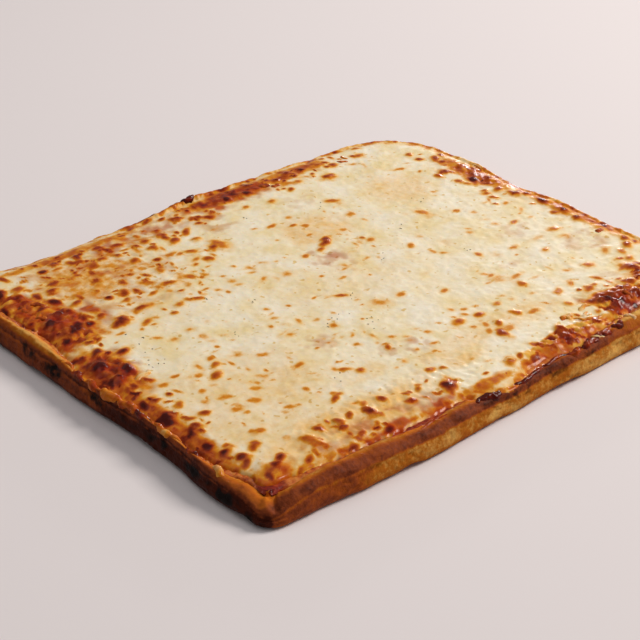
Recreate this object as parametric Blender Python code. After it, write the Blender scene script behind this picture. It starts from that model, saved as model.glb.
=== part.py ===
"""A whole Sicilian pizza: a thick rectangular pan crust, a layer of tomato sauce, and a sheet of
melted, blistered cheese. Metres, +Z up. The origin is at the middle of the flat base, with the long
side along X. The front is -Y, and the left is -X."""

import math
import random

import bmesh
import bpy
import numpy as np
from mathutils import Matrix, Vector, noise

LENGTH = 0.400
WIDTH = 0.332
TRAY_FLOOR = 0.0110
GAP = 0.0003
SAUCE_DEPTH = 0.0016
SAUCE_LIFT = 0.0016
CHEESE_DEPTH = 0.0036
CHEESE_EDGE_DEPTH = 0.0014
CHEESE_RELIEF = 0.0006
SCALLOP_DEPTH = 0.0024
SCALLOP_SCALE = 0.017
RIM_SPACING = 0.0094
CHEESE_SPACING = 0.0102
SEED = 14

SAUCE_BASE = TRAY_FLOOR + GAP
SAUCE_TOP = SAUCE_BASE + SAUCE_DEPTH
CHEESE_BASE = SAUCE_TOP + GAP
CHEESE_TOP = CHEESE_BASE + CHEESE_DEPTH

# Each corner's signs of X and Y and its radius in plan, anticlockwise from the front left.
CORNERS = (
    (-1, -1, 0.013),
    (1, -1, 0.028),
    (1, 1, 0.054),
    (-1, 1, 0.030),
)

# The way each side faces, its rim's height, the rim's width, and the sauce that shows inside the rim.
SIDES = (
    ((0, -1), 0.0172, 0.0140, 0.0040),
    ((1, 0), 0.0150, 0.0062, 0.0008),
    ((0, 1), 0.0150, 0.0062, 0.0008),
    ((-1, 0), 0.0162, 0.0052, 0.0007),
)

# Where the rim departs from its side's section: a place on the edge, how far the change reaches along
# the edge, and what it adds to the outline (outwards), the height, the width and the sauce's margin.
RIM_CHANGES = (
    ((-0.200, -0.166), 0.024, 0.0005, -0.0045, 0.0060, 0.0005),
    ((-0.130, -0.166), 0.034, 0.0024, 0.0014, 0.0020, 0.0010),
    ((-0.075, -0.166), 0.040, 0.0050, -0.0004, 0.0000, 0.0010),
    ((-0.012, -0.166), 0.024, 0.0014, -0.0022, -0.0070, -0.0036),
    ((0.050, -0.166), 0.030, 0.0006, -0.0006, -0.0040, 0.0040),
    ((0.122, -0.166), 0.042, 0.0000, 0.0016, 0.0010, 0.0010),
    ((0.190, -0.140), 0.030, 0.0000, 0.0010, 0.0020, 0.0000),
    ((0.200, -0.010), 0.022, 0.0020, 0.0000, 0.0000, 0.0000),
    ((0.200, 0.030), 0.020, -0.0030, -0.0010, 0.0000, 0.0000),
    ((0.200, 0.076), 0.022, 0.0010, 0.0012, 0.0000, 0.0000),
    ((0.060, 0.166), 0.050, 0.0030, 0.0000, 0.0000, 0.0000),
    ((-0.004, 0.166), 0.022, 0.0030, 0.0030, 0.0010, 0.0000),
    ((-0.050, 0.166), 0.030, 0.0000, 0.0014, 0.0030, 0.0000),
    ((-0.125, 0.166), 0.046, -0.0046, -0.0022, 0.0000, 0.0000),
    ((-0.200, 0.110), 0.028, 0.0034, 0.0012, 0.0024, 0.0032),
    ((-0.200, 0.062), 0.030, 0.0030, 0.0014, 0.0050, 0.0018),
    ((-0.200, 0.016), 0.022, 0.0024, -0.0006, 0.0000, 0.0000),
    ((-0.200, -0.118), 0.024, 0.0030, -0.0006, 0.0040, 0.0006),
)

# The crust's section, from the base up the outer wall, over the crest and down to the tray: the inset
# in metres plus a share of the rim's width, and the height in metres plus a share of the rim's height.
CRUST_SECTION = (
    (0.0040, 0.00, 0.0000, 0.00),
    (0.0008, 0.00, 0.0013, 0.00),
    (0.0000, 0.00, 0.0050, 0.00),
    (0.0011, 0.00, 0.0000, 0.60),
    (0.0018, 0.05, 0.0000, 0.80),
    (0.0010, 0.25, 0.0000, 0.93),
    (0.0000, 0.54, 0.0000, 1.00),
    (0.0000, 0.78, 0.0000, 0.97),
    (0.0000, 1.00, 0.0000, 0.84),
    (0.0010, 1.00, TRAY_FLOOR, 0.00),
)
WALL_RINGS = (1, 2, 3, 4, 5, 6, 7)
WALL_ROUGHNESS = 0.0008
CREST_ROUGHNESS = 0.0009
ROUGH_SCALE = 0.016

# The largest blisters, in millimetres and degrees: x, y, length, width, and the angle of the length.
BLISTERS_MM = (
    (-187, -62, 14, 10, 70),
    (-185, -79, 9, 8, 30),
    (-168, -69, 10, 8, 0),
    (-184, -108, 17, 9, 15),
    (-168, -114, 13, 8, 35),
    (-164, -132, 14, 8, 30),
    (-129, -125, 11, 9, 110),
    (-118, -133, 12, 8, 35),
    (-106, -125, 10, 7, 45),
    (-95, -130, 15, 10, 90),
    (-81, -125, 11, 8, 110),
    (-69, -137, 11, 9, 0),
    (-57, -130, 9, 7, 30),
    (-41, -140, 18, 10, 52),
    (-92, -62, 11, 7, 20),
    (-135, -39, 19, 7, 38),
    (-67, -93, 10, 8, 0),
    (-36, -83, 12, 7, 50),
    (-99, -106, 18, 6, 25),
    (-142, 51, 20, 14, 30),
    (-161, 98, 16, 9, 95),
    (-124, 105, 10, 8, 0),
    (-68, 119, 10, 9, 0),
    (-66, 131, 10, 9, 0),
    (-50, 118, 13, 8, 35),
    (-36, 93, 12, 9, 35),
    (-49, 82, 11, 7, -50),
    (-90, 72, 18, 7, -18),
    (-169, 62, 18, 12, 40),
    (-121, 81, 13, 8, 40),
    (-102, 44, 10, 8, 20),
    (-130, 40, 14, 7, 30),
    (-183, 8, 21, 13, 35),
    (34, 145, 15, 10, -20),
    (17, 147, 15, 9, 60),
    (76, 150, 13, 9, 30),
    (99, 127, 11, 10, 0),
    (73, 96, 13, 8, -25),
    (33, 78, 9, 7, 30),
    (68, 70, 9, 8, 40),
    (27, 48, 21, 8, 42),
    (69, 8, 10, 7, 35),
    (171, 52, 13, 11, 60),
    (174, 31, 10, 8, 40),
    (145, -14, 11, 6, 10),
    (158, -39, 12, 9, -10),
    (117, -41, 10, 6, 0),
    (88, -71, 13, 7, 15),
    (18, -88, 13, 8, 10),
    (36, -89, 10, 9, 0),
    (138, -90, 12, 10, -20),
    (36, -108, 15, 9, 60),
    (95, -103, 13, 7, 35),
    (111, -128, 20, 12, 25),
)
SMALL_BLISTERS = 34
SMALL_BLISTER_SIZE = (0.0060, 0.0090)
BLISTER_RISE = 0.16
BLISTER_SIDES = 7
BLISTER_RINGS = 4

# Browned lumps and strands of cheese on the crust's rim: the place on the edge, the length along the
# edge, and the radius.
RIM_LUMPS = (
    ((-0.033, -0.166), 0.020, 0.0027),
    ((0.062, -0.166), 0.012, 0.0020),
    ((0.082, -0.166), 0.010, 0.0020),
    ((-0.004, 0.170), 0.014, 0.0026),
    ((0.040, 0.170), 0.010, 0.0020),
    ((-0.200, 0.118), 0.016, 0.0026),
    ((-0.200, 0.016), 0.012, 0.0020),
    ((-0.200, -0.058), 0.014, 0.0020),
)
RIM_STRANDS = (
    ((-0.200, -0.012), 0.024, 0.0012),
    ((-0.200, -0.034), 0.022, 0.0012),
    ((-0.200, -0.084), 0.026, 0.0012),
    ((-0.200, 0.036), 0.018, 0.0011),
    ((-0.078, -0.166), 0.034, 0.0011),
    ((0.018, -0.166), 0.024, 0.0011),
    ((0.196, 0.070), 0.024, 0.0012),
    ((0.196, -0.045), 0.020, 0.0011),
)
STRAND_POINTS = 6
SHOULDER_INSET = 0.0012
SHOULDER_SHARE = 0.26
SHOULDER_HEIGHT = 0.93


def smooth(value):
    """A ramp from 0 to 1 with flat ends."""
    held = min(max(value, 0.0), 1.0)
    return held * held * (3 - 2 * held)


def plan_ring(inset):
    """The rounded rectangle at one inset from the sharp outline, with its outward normals. Every inset
    has the same number of points, so its rings match one to one."""
    places = []
    for turn, (sign_x, sign_y, radius) in enumerate(CORNERS):
        held = max(radius - inset, 0.004)
        centre = Vector(
            (sign_x * (LENGTH / 2 - inset - held), sign_y * (WIDTH / 2 - inset - held))
        )
        arc_points = max(4, round(radius * math.pi / 2 / RIM_SPACING))
        for step in range(arc_points + 1):
            angle = math.pi * (1 + turn / 2 + step / arc_points / 2)
            normal = Vector((math.cos(angle), math.sin(angle)))
            places.append((centre + normal * held, normal))
        side = LENGTH if turn % 2 == 0 else WIDTH
        side_points = round((side - radius - CORNERS[(turn + 1) % 4][2]) / RIM_SPACING)
        places.append(side_points)
    ring = []
    for number, place in enumerate(places):
        if isinstance(place, tuple):
            ring.append(place)
            continue
        start, normal = places[number - 1]
        end = places[(number + 1) % len(places)][0]
        for step in range(1, place):
            ring.append((start.lerp(end, step / place), normal))
    return ring


def rim_values(point, normal):
    """What the rim is at a point of the outline: its shift outwards, height, width and sauce margin."""
    shift, height, width, margin = 0.0, 0.0, 0.0, 0.0
    for facing, side_height, side_width, side_margin in SIDES:
        share = max(normal.dot(Vector(facing)), 0.0) ** 2
        height += share * side_height
        width += share * side_width
        margin += share * side_margin
    for place, reach, add_shift, add_height, add_width, add_margin in RIM_CHANGES:
        share = math.exp(-(((point - Vector(place)).length / reach) ** 2))
        shift += share * add_shift
        height += share * add_height
        width += share * add_width
        margin += share * add_margin
    shift += 0.0012 * noise.noise(Vector((point.x, point.y, 0.3)) / 0.030)
    return shift, height, max(width, 0.0045), max(margin, 0.0006)


OUTLINE = plan_ring(0.0)
RIM = [rim_values(point, normal) for point, normal in OUTLINE]


def ring_at(insets, heights):
    """A closed ring of 3D points at each outline point's own inset and height."""
    levels = {}
    ring = []
    for number, (inset, height) in enumerate(zip(insets, heights)):
        key = round(inset, 6)
        if key not in levels:
            levels[key] = plan_ring(inset)
        point = levels[key][number][0] + OUTLINE[number][1] * RIM[number][0]
        ring.append(Vector((point.x, point.y, height)))
    return ring


def new_object(name, mesh_builder, colour, roughness):
    """A named object from a bmesh, shaded smooth except at sharp edges, with its own material."""
    mesh = bpy.data.meshes.new(name)
    mesh_builder.to_mesh(mesh)
    mesh_builder.free()
    mesh.shade_smooth()
    mesh.set_sharp_from_angle(angle=math.radians(50))
    material = bpy.data.materials.new(name)
    material.use_nodes = True
    shader = material.node_tree.nodes["Principled BSDF"]
    shader.inputs["Base Color"].default_value = (*colour, 1.0)
    shader.inputs["Roughness"].default_value = roughness
    shader.inputs["Metallic"].default_value = 0.0
    mesh.materials.append(material)
    return bpy.data.objects.new(name, mesh)


def loft(rings):
    """A closed solid through rings that match point to point, with a flat face over the first and the
    last. The rings are unlike, so the skin between them is laid by hand."""
    builder = bmesh.new()
    loops = [[builder.verts.new(point) for point in ring] for ring in rings]
    count = len(rings[0])
    for lower, upper in zip(loops, loops[1:]):
        for here in range(count):
            there = (here + 1) % count
            builder.faces.new((lower[here], lower[there], upper[there], upper[here]))
    builder.faces.new(loops[0][::-1])
    builder.faces.new(loops[-1])
    return builder


def make_crust():
    """The dough: a flat base, a nearly upright pan-baked wall, an uneven rounded rim and a flat tray."""
    rings = []
    for number, (inset, by_width, height, by_height) in enumerate(CRUST_SECTION):
        insets = [inset + by_width * rim[2] for rim in RIM]
        heights = [height + by_height * rim[1] for rim in RIM]
        ring = ring_at(insets, heights)
        if number in WALL_RINGS:
            for point, (_, normal) in zip(ring, OUTLINE):
                wave = noise.noise(point / ROUGH_SCALE)
                point.x -= normal.x * WALL_ROUGHNESS * abs(wave)
                point.y -= normal.y * WALL_ROUGHNESS * abs(wave)
                if number > 3:
                    point.z += CREST_ROUGHNESS * wave
        rings.append(ring)
    return new_object("crust", loft(rings), (0.56, 0.31, 0.11), 0.6)


def make_sauce():
    """Tomato sauce on the tray: flat under the cheese, and raised where it shows along the rim."""
    widths = [rim[2] for rim in RIM]
    margins = [rim[3] for rim in RIM]
    lifts = [SAUCE_LIFT * smooth((margin - 0.0012) / 0.004) for margin in margins]
    flat = [SAUCE_TOP] * len(RIM)
    outer = [width + 0.0016 for width in widths]
    crest = [width + 0.0021 + 0.12 * margin for width, margin in zip(widths, margins)]
    inner = [width + max(margin - 0.0010, 0.0027) for width, margin in zip(widths, margins)]
    under = [inset + 0.0005 for inset in inner]
    rings = [
        ring_at([width + 0.0020 for width in widths], [SAUCE_BASE] * len(RIM)),
        ring_at(outer, [SAUCE_TOP + 0.3 * lift for lift in lifts]),
        ring_at(crest, [SAUCE_TOP + lift for lift in lifts]),
        ring_at(inner, [SAUCE_TOP + 0.8 * lift for lift in lifts]),
        ring_at(under, flat),
    ]
    return new_object("sauce", loft(rings), (0.36, 0.045, 0.012), 0.3)


def cheese_edge():
    """The cheese's edge in plan, as polar angles and radii about the middle: it ends inside the sauce's
    margin, and its scallops only ever go inwards."""
    insets = []
    for (point, _), (_, _, width, margin) in zip(OUTLINE, RIM):
        scallop = abs(noise.noise(Vector((point.x, point.y, 0.8)) / SCALLOP_SCALE))
        insets.append(width + margin + SCALLOP_DEPTH * scallop)
    ring = ring_at(insets, [0.0] * len(RIM))
    polar = sorted((math.atan2(point.y, point.x), point.xy.length) for point in ring)
    return np.array(polar)


def cheese_height(x, y, share):
    """The top of the cheese: a sheet of gentle lumps that thins towards its edge. share is 1 there."""
    lumps = noise.noise(Vector((x, y, 0.1)) / 0.034) + 0.5 * noise.noise(Vector((x, y, 0.6)) / 0.016)
    depth = CHEESE_DEPTH + CHEESE_RELIEF * lumps
    thinning = smooth((share - 0.93) / 0.07)
    return CHEESE_BASE + depth * (1 - thinning) + CHEESE_EDGE_DEPTH * thinning


def make_cheese_sheet():
    """The sheet without its blisters: a grid fitted to the edge, then walls and a flat underside."""
    builder = bmesh.new()
    across = round(LENGTH / CHEESE_SPACING)
    along = round(WIDTH / CHEESE_SPACING)
    bmesh.ops.create_grid(builder, x_segments=across, y_segments=along, size=1.0)
    edge = cheese_edge()
    for vertex in builder.verts:
        share = max(abs(vertex.co.x), abs(vertex.co.y), 1e-9)
        angle = math.atan2(vertex.co.y * WIDTH, vertex.co.x * LENGTH)
        radius = share * np.interp(angle, edge[:, 0], edge[:, 1], period=2 * math.pi)
        x = radius * math.cos(angle)
        y = radius * math.sin(angle)
        vertex.co = (x, y, cheese_height(x, y, share))
    border = [part for part in builder.edges if part.is_boundary]
    walls = bmesh.ops.extrude_edge_only(builder, edges=border)["geom"]
    for part in walls:
        if isinstance(part, bmesh.types.BMVert):
            part.co.z = CHEESE_BASE
    rim = [part for part in builder.edges if part.is_boundary]
    bmesh.ops.holes_fill(builder, edges=rim, sides=0)
    bmesh.ops.recalc_face_normals(builder, faces=builder.faces)
    return new_object("cheese", builder, (0.80, 0.66, 0.38), 0.4), edge


def inside_edge(x, y, edge, clearance):
    """Whether a point is inside the cheese's edge by that clearance."""
    reach = np.interp(math.atan2(y, x), edge[:, 0], edge[:, 1], period=2 * math.pi)
    return math.hypot(x, y) < reach - clearance


def scattered_blisters(edge, taken):
    """More, smaller blisters, denser towards the edges and the back left, clear of one another."""
    draw = random.Random(SEED)
    found = []
    while len(found) < SMALL_BLISTERS:
        x = draw.uniform(-LENGTH / 2, LENGTH / 2)
        y = draw.uniform(-WIDTH / 2, WIDTH / 2)
        size = draw.uniform(*SMALL_BLISTER_SIZE)
        edge_share = max(abs(x) / (LENGTH / 2), abs(y) / (WIDTH / 2))
        chance = 0.1 + 0.9 * smooth((edge_share - 0.3) / 0.6)
        if x < -0.05 and y > 0.02:
            chance = 1.0
        near = any(
            math.hypot(x - other[0], y - other[1]) < (size + other[2]) / 2 + 0.0012
            for other in taken + found
        )
        if draw.random() < chance and not near and inside_edge(x, y, edge, size):
            turned = draw.uniform(0, 180)
            found.append((x, y, size, size * draw.uniform(0.7, 0.9), turned))
    return found


def make_blister(number, blister):
    """One flattened bubble of browned cheese, half sunk in the sheet."""
    x, y, length, width, turned = blister
    builder = bmesh.new()
    bmesh.ops.create_uvsphere(
        builder, u_segments=BLISTER_SIDES, v_segments=BLISTER_RINGS, radius=0.5
    )
    rise = BLISTER_RISE * width
    bmesh.ops.scale(builder, verts=builder.verts, vec=(length, width, 2 * rise + 0.0016))
    place = Matrix.Translation((x, y, cheese_height(x, y, 0.0) - 0.0004))
    builder.transform(place @ Matrix.Rotation(math.radians(turned), 4, "Z"))
    return new_object(f"blister_{number:03d}", builder, (0.4, 0.15, 0.04), 0.4)


def nearest_rim(place):
    """The outline point nearest a place, as its number."""
    spot = Vector(place)
    return min(range(len(OUTLINE)), key=lambda here: (OUTLINE[here][0] - spot).length)


def crest_point(number, along):
    """A point on the rim's outer shoulder at an outline point, moved along the edge."""
    (point, normal), (shift, height, width, _) = OUTLINE[number], RIM[number]
    tangent = Vector((-normal.y, normal.x))
    spot = point + normal * (shift - SHOULDER_INSET - SHOULDER_SHARE * width) + tangent * along
    return Vector((spot.x, spot.y, SHOULDER_HEIGHT * height))


def make_rim_lump(number, lump):
    """A craggy bead of charred cheese on the crest."""
    place, length, radius = lump
    here = nearest_rim(place)
    normal = OUTLINE[here][1]
    builder = bmesh.new()
    bmesh.ops.create_icosphere(builder, subdivisions=2, radius=1.0)
    for vertex in builder.verts:
        vertex.co *= 1 + 0.22 * noise.noise(vertex.co * 1.9 + Vector((number, 0, 0)))
    bmesh.ops.scale(builder, verts=builder.verts, vec=(length / 2, radius, radius))
    turn = math.atan2(normal.y, normal.x) + math.pi / 2
    builder.transform(
        Matrix.Translation(crest_point(here, 0.0)) @ Matrix.Rotation(turn, 4, "Z")
    )
    return new_object(f"rim_lump_{number}", builder, (0.08, 0.03, 0.02), 0.5)


def make_strand(number, strand):
    """A melted shred of cheese lying along the crest: a curve tube that wanders a little, as a mesh."""
    place, length, radius = strand
    here = nearest_rim(place)
    curve = bpy.data.curves.new(f"strand_{number}", "CURVE")
    curve.dimensions = "3D"
    curve.bevel_depth = radius
    curve.bevel_resolution = 1
    curve.use_fill_caps = True
    spline = curve.splines.new("POLY")
    spline.points.add(STRAND_POINTS - 1)
    normal = OUTLINE[here][1]
    for step, knot in enumerate(spline.points):
        share = step / (STRAND_POINTS - 1) - 0.5
        spot = crest_point(here, share * length)
        sway = 0.0012 * math.sin(7 * share + 2 * number)
        spot.x += normal.x * sway
        spot.y += normal.y * sway
        spot.z -= 0.0006 + 0.0014 * abs(share)
        knot.co = (*spot, 1.0)
    guide = bpy.data.objects.new(f"strand_{number}", curve)
    bpy.context.scene.collection.objects.link(guide)
    evaluated = guide.evaluated_get(bpy.context.evaluated_depsgraph_get())
    builder = bmesh.new()
    builder.from_mesh(bpy.data.meshes.new_from_object(evaluated))
    bmesh.ops.remove_doubles(builder, verts=builder.verts, dist=1e-6)
    bpy.data.objects.remove(guide)
    bpy.data.curves.remove(curve)
    return new_object(f"strand_mesh_{number}", builder, (0.7, 0.35, 0.1), 0.4)


def fuse(base, additions):
    """Joins the additions to the base with one Boolean union, applied, and removes them."""
    scratch = bpy.data.collections.new(f"{base.name}_additions")
    bpy.context.scene.collection.children.link(scratch)
    for addition in additions:
        scratch.objects.link(addition)
    union = base.modifiers.new("fuse", "BOOLEAN")
    union.operation = "UNION"
    union.operand_type = "COLLECTION"
    union.collection = scratch
    union.solver = "EXACT"
    evaluated = base.evaluated_get(bpy.context.evaluated_depsgraph_get())
    joined = bpy.data.meshes.new_from_object(evaluated)
    base.modifiers.remove(union)
    slot_material = base.data.materials[0]
    joined.materials.clear()
    joined.materials.append(slot_material)
    base.data = joined
    for addition in additions:
        bpy.data.objects.remove(addition)
    bpy.data.collections.remove(scratch)


def centre_on_origin(layers):
    """Moves the layers together so that the whole pizza's box is centred on the origin in plan."""
    corners = np.array([vertex.co for layer in layers for vertex in layer.data.vertices])
    middle = (corners.min(axis=0) + corners.max(axis=0)) / 2
    for layer in layers:
        layer.data.transform(Matrix.Translation((-middle[0], -middle[1], 0.0)))


def clear_scene():
    """Removes whatever objects the file opened with."""
    for found in list(bpy.data.objects):
        bpy.data.objects.remove(found, do_unlink=True)


def main():
    """Builds the three layers of the pizza."""
    clear_scene()
    pizza = bpy.data.collections.new("sicilian_pizza")
    bpy.context.scene.collection.children.link(pizza)

    crust = make_crust()
    sauce = make_sauce()
    cheese, edge = make_cheese_sheet()
    for layer in (crust, sauce, cheese):
        pizza.objects.link(layer)

    bits = [make_rim_lump(number, lump) for number, lump in enumerate(RIM_LUMPS)]
    bits += [make_strand(number, strand) for number, strand in enumerate(RIM_STRANDS)]
    fuse(crust, bits)

    large = [(x / 1e3, y / 1e3, a / 1e3, b / 1e3, turn) for x, y, a, b, turn in BLISTERS_MM]
    large = [found for found in large if inside_edge(found[0], found[1], edge, found[3] / 2 + 0.001)]
    spots = large + scattered_blisters(edge, large)
    fuse(cheese, [make_blister(number, spot) for number, spot in enumerate(spots)])
    centre_on_origin((crust, sauce, cheese))


main()
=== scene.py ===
"""The looks of a whole Sicilian pizza: pan-baked crust, tomato sauce and blistered melted cheese.

Everything is in metres and +Z is up. Places in the tables are in the plan of the pizza, with the
long side along X, before the small shift that puts the middle of its box on the origin."""

import functools
import math

import bpy
import numpy as np
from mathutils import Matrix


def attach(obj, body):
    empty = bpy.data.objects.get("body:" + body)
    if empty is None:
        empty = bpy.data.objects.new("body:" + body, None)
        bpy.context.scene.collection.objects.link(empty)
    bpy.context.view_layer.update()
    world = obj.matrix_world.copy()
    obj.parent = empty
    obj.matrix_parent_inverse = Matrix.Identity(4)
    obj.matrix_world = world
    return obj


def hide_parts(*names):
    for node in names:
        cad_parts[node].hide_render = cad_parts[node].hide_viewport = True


bl_info = {
    "name": "Sicilian Pizza",
    "version": (1, 0, 0),
    "blender": (4, 5, 0),
    "location": "View3D > Sidebar > Pizza",
    "description": "Makes the crust, the sauce and the melted cheese of a whole Sicilian pizza",
    "category": "Mesh",
}

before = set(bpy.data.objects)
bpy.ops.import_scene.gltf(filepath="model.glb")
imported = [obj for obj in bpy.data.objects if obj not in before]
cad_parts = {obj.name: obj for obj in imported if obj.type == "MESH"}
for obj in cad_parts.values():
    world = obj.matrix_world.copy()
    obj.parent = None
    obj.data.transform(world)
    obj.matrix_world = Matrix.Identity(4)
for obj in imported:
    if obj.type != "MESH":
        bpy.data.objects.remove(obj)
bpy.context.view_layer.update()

MM = 0.001
PLAN_SHIFT = np.array([0.726 * MM, 0.634 * MM, 0.0])
LENGTH = 0.400
WIDTH = 0.332
TRAY_FLOOR = 0.0110
SAUCE_TOP = 0.0129
CHEESE_BASE = 0.0132
CHEESE_TOP = 0.0168

# How softly the cheese joins the crust that it hangs over, how far below a limit heights begin to
# bend, and the height of the lumps that are baked crisp all over.
SOFT_JOIN = 0.0007
SOFT_LIMIT = 0.0008
HIGH_LUMPS = 2.9 * MM

# Each corner's signs of X and Y and its radius in plan, anticlockwise from the front left.
CORNERS = (
    (-1, -1, 0.013),
    (1, -1, 0.028),
    (1, 1, 0.054),
    (-1, 1, 0.030),
)

# The way each side faces, its rim's height and width, and the sauce's margin inside the rim.
SIDES = (
    (0, -1, 0.0172, 0.0140, 0.0040),
    (1, 0, 0.0150, 0.0062, 0.0008),
    (0, 1, 0.0150, 0.0062, 0.0008),
    (-1, 0, 0.0162, 0.0052, 0.0007),
)

# Where the rim changes: a place on the edge, the reach along it, and what is added there to the
# outline, the height, the width, the sauce's margin, and how far the cheese hangs out over the rim.
RIM_CHANGES = (
    (-0.200, -0.166, 0.019, 0.0005, -0.0088, 0.0050, 0.0005, 0.0014),
    (-0.130, -0.166, 0.034, 0.0024, 0.0014, 0.0020, 0.0010, 0.0052),
    (-0.075, -0.166, 0.040, 0.0050, -0.0004, 0.0000, 0.0010, 0.0040),
    (-0.012, -0.166, 0.024, 0.0014, -0.0022, -0.0070, -0.0036, 0.0050),
    (0.050, -0.166, 0.030, 0.0006, -0.0006, -0.0040, 0.0040, 0.0090),
    (0.084, -0.166, 0.026, 0.0000, 0.0000, 0.0000, 0.0000, 0.0090),
    (0.122, -0.166, 0.042, 0.0000, 0.0016, 0.0010, 0.0010, 0.0000),
    (0.190, -0.140, 0.030, 0.0000, 0.0010, 0.0020, 0.0000, 0.0000),
    (0.200, -0.010, 0.022, 0.0020, 0.0000, 0.0000, 0.0000, 0.0030),
    (0.200, 0.030, 0.020, -0.0030, -0.0010, 0.0000, 0.0000, 0.0030),
    (0.200, 0.076, 0.022, 0.0010, 0.0012, 0.0000, 0.0000, 0.0030),
    (0.060, 0.166, 0.050, 0.0030, 0.0000, 0.0000, 0.0000, 0.0020),
    (-0.004, 0.166, 0.022, 0.0030, 0.0030, 0.0010, 0.0000, 0.0000),
    (-0.050, 0.166, 0.030, 0.0000, 0.0014, 0.0030, 0.0000, 0.0000),
    (-0.125, 0.166, 0.046, -0.0046, -0.0022, 0.0000, 0.0000, 0.0040),
    (-0.200, 0.110, 0.028, 0.0034, 0.0012, 0.0036, 0.0024, 0.0000),
    (-0.200, 0.062, 0.030, 0.0030, 0.0014, 0.0072, 0.0010, 0.0000),
    (-0.200, 0.010, 0.026, 0.0024, -0.0006, 0.0000, 0.0000, 0.0024),
    (-0.200, -0.055, 0.040, 0.0000, 0.0000, 0.0000, 0.0000, 0.0018),
    (-0.200, -0.118, 0.024, 0.0030, -0.0006, 0.0030, 0.0006, 0.0000),
    (-0.200, -0.141, 0.018, 0.0004, -0.0012, 0.0078, 0.0010, 0.0014),
)

# The crust's section from the base, up the wall, over the crest and down to the tray: the inset plus
# a share of the rim's width, the height plus a share of the rim's height, and how browned it is.
CRUST_SECTION = (
    (0.0040, 0.00, 0.0000, 0.00, 0.55),
    (0.0008, 0.00, 0.0013, 0.00, 0.42),
    (0.0000, 0.00, 0.0050, 0.00, 0.22),
    (0.0011, 0.00, 0.0000, 0.60, 0.26),
    (0.0018, 0.05, 0.0000, 0.80, 0.62),
    (0.0010, 0.25, 0.0000, 0.93, 0.86),
    (0.0000, 0.54, 0.0000, 1.00, 0.74),
    (0.0000, 0.78, 0.0000, 0.97, 0.50),
    (0.0000, 1.00, 0.0000, 0.84, 0.40),
    (0.0010, 1.00, TRAY_FLOOR, 0.00, 0.40),
)

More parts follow.
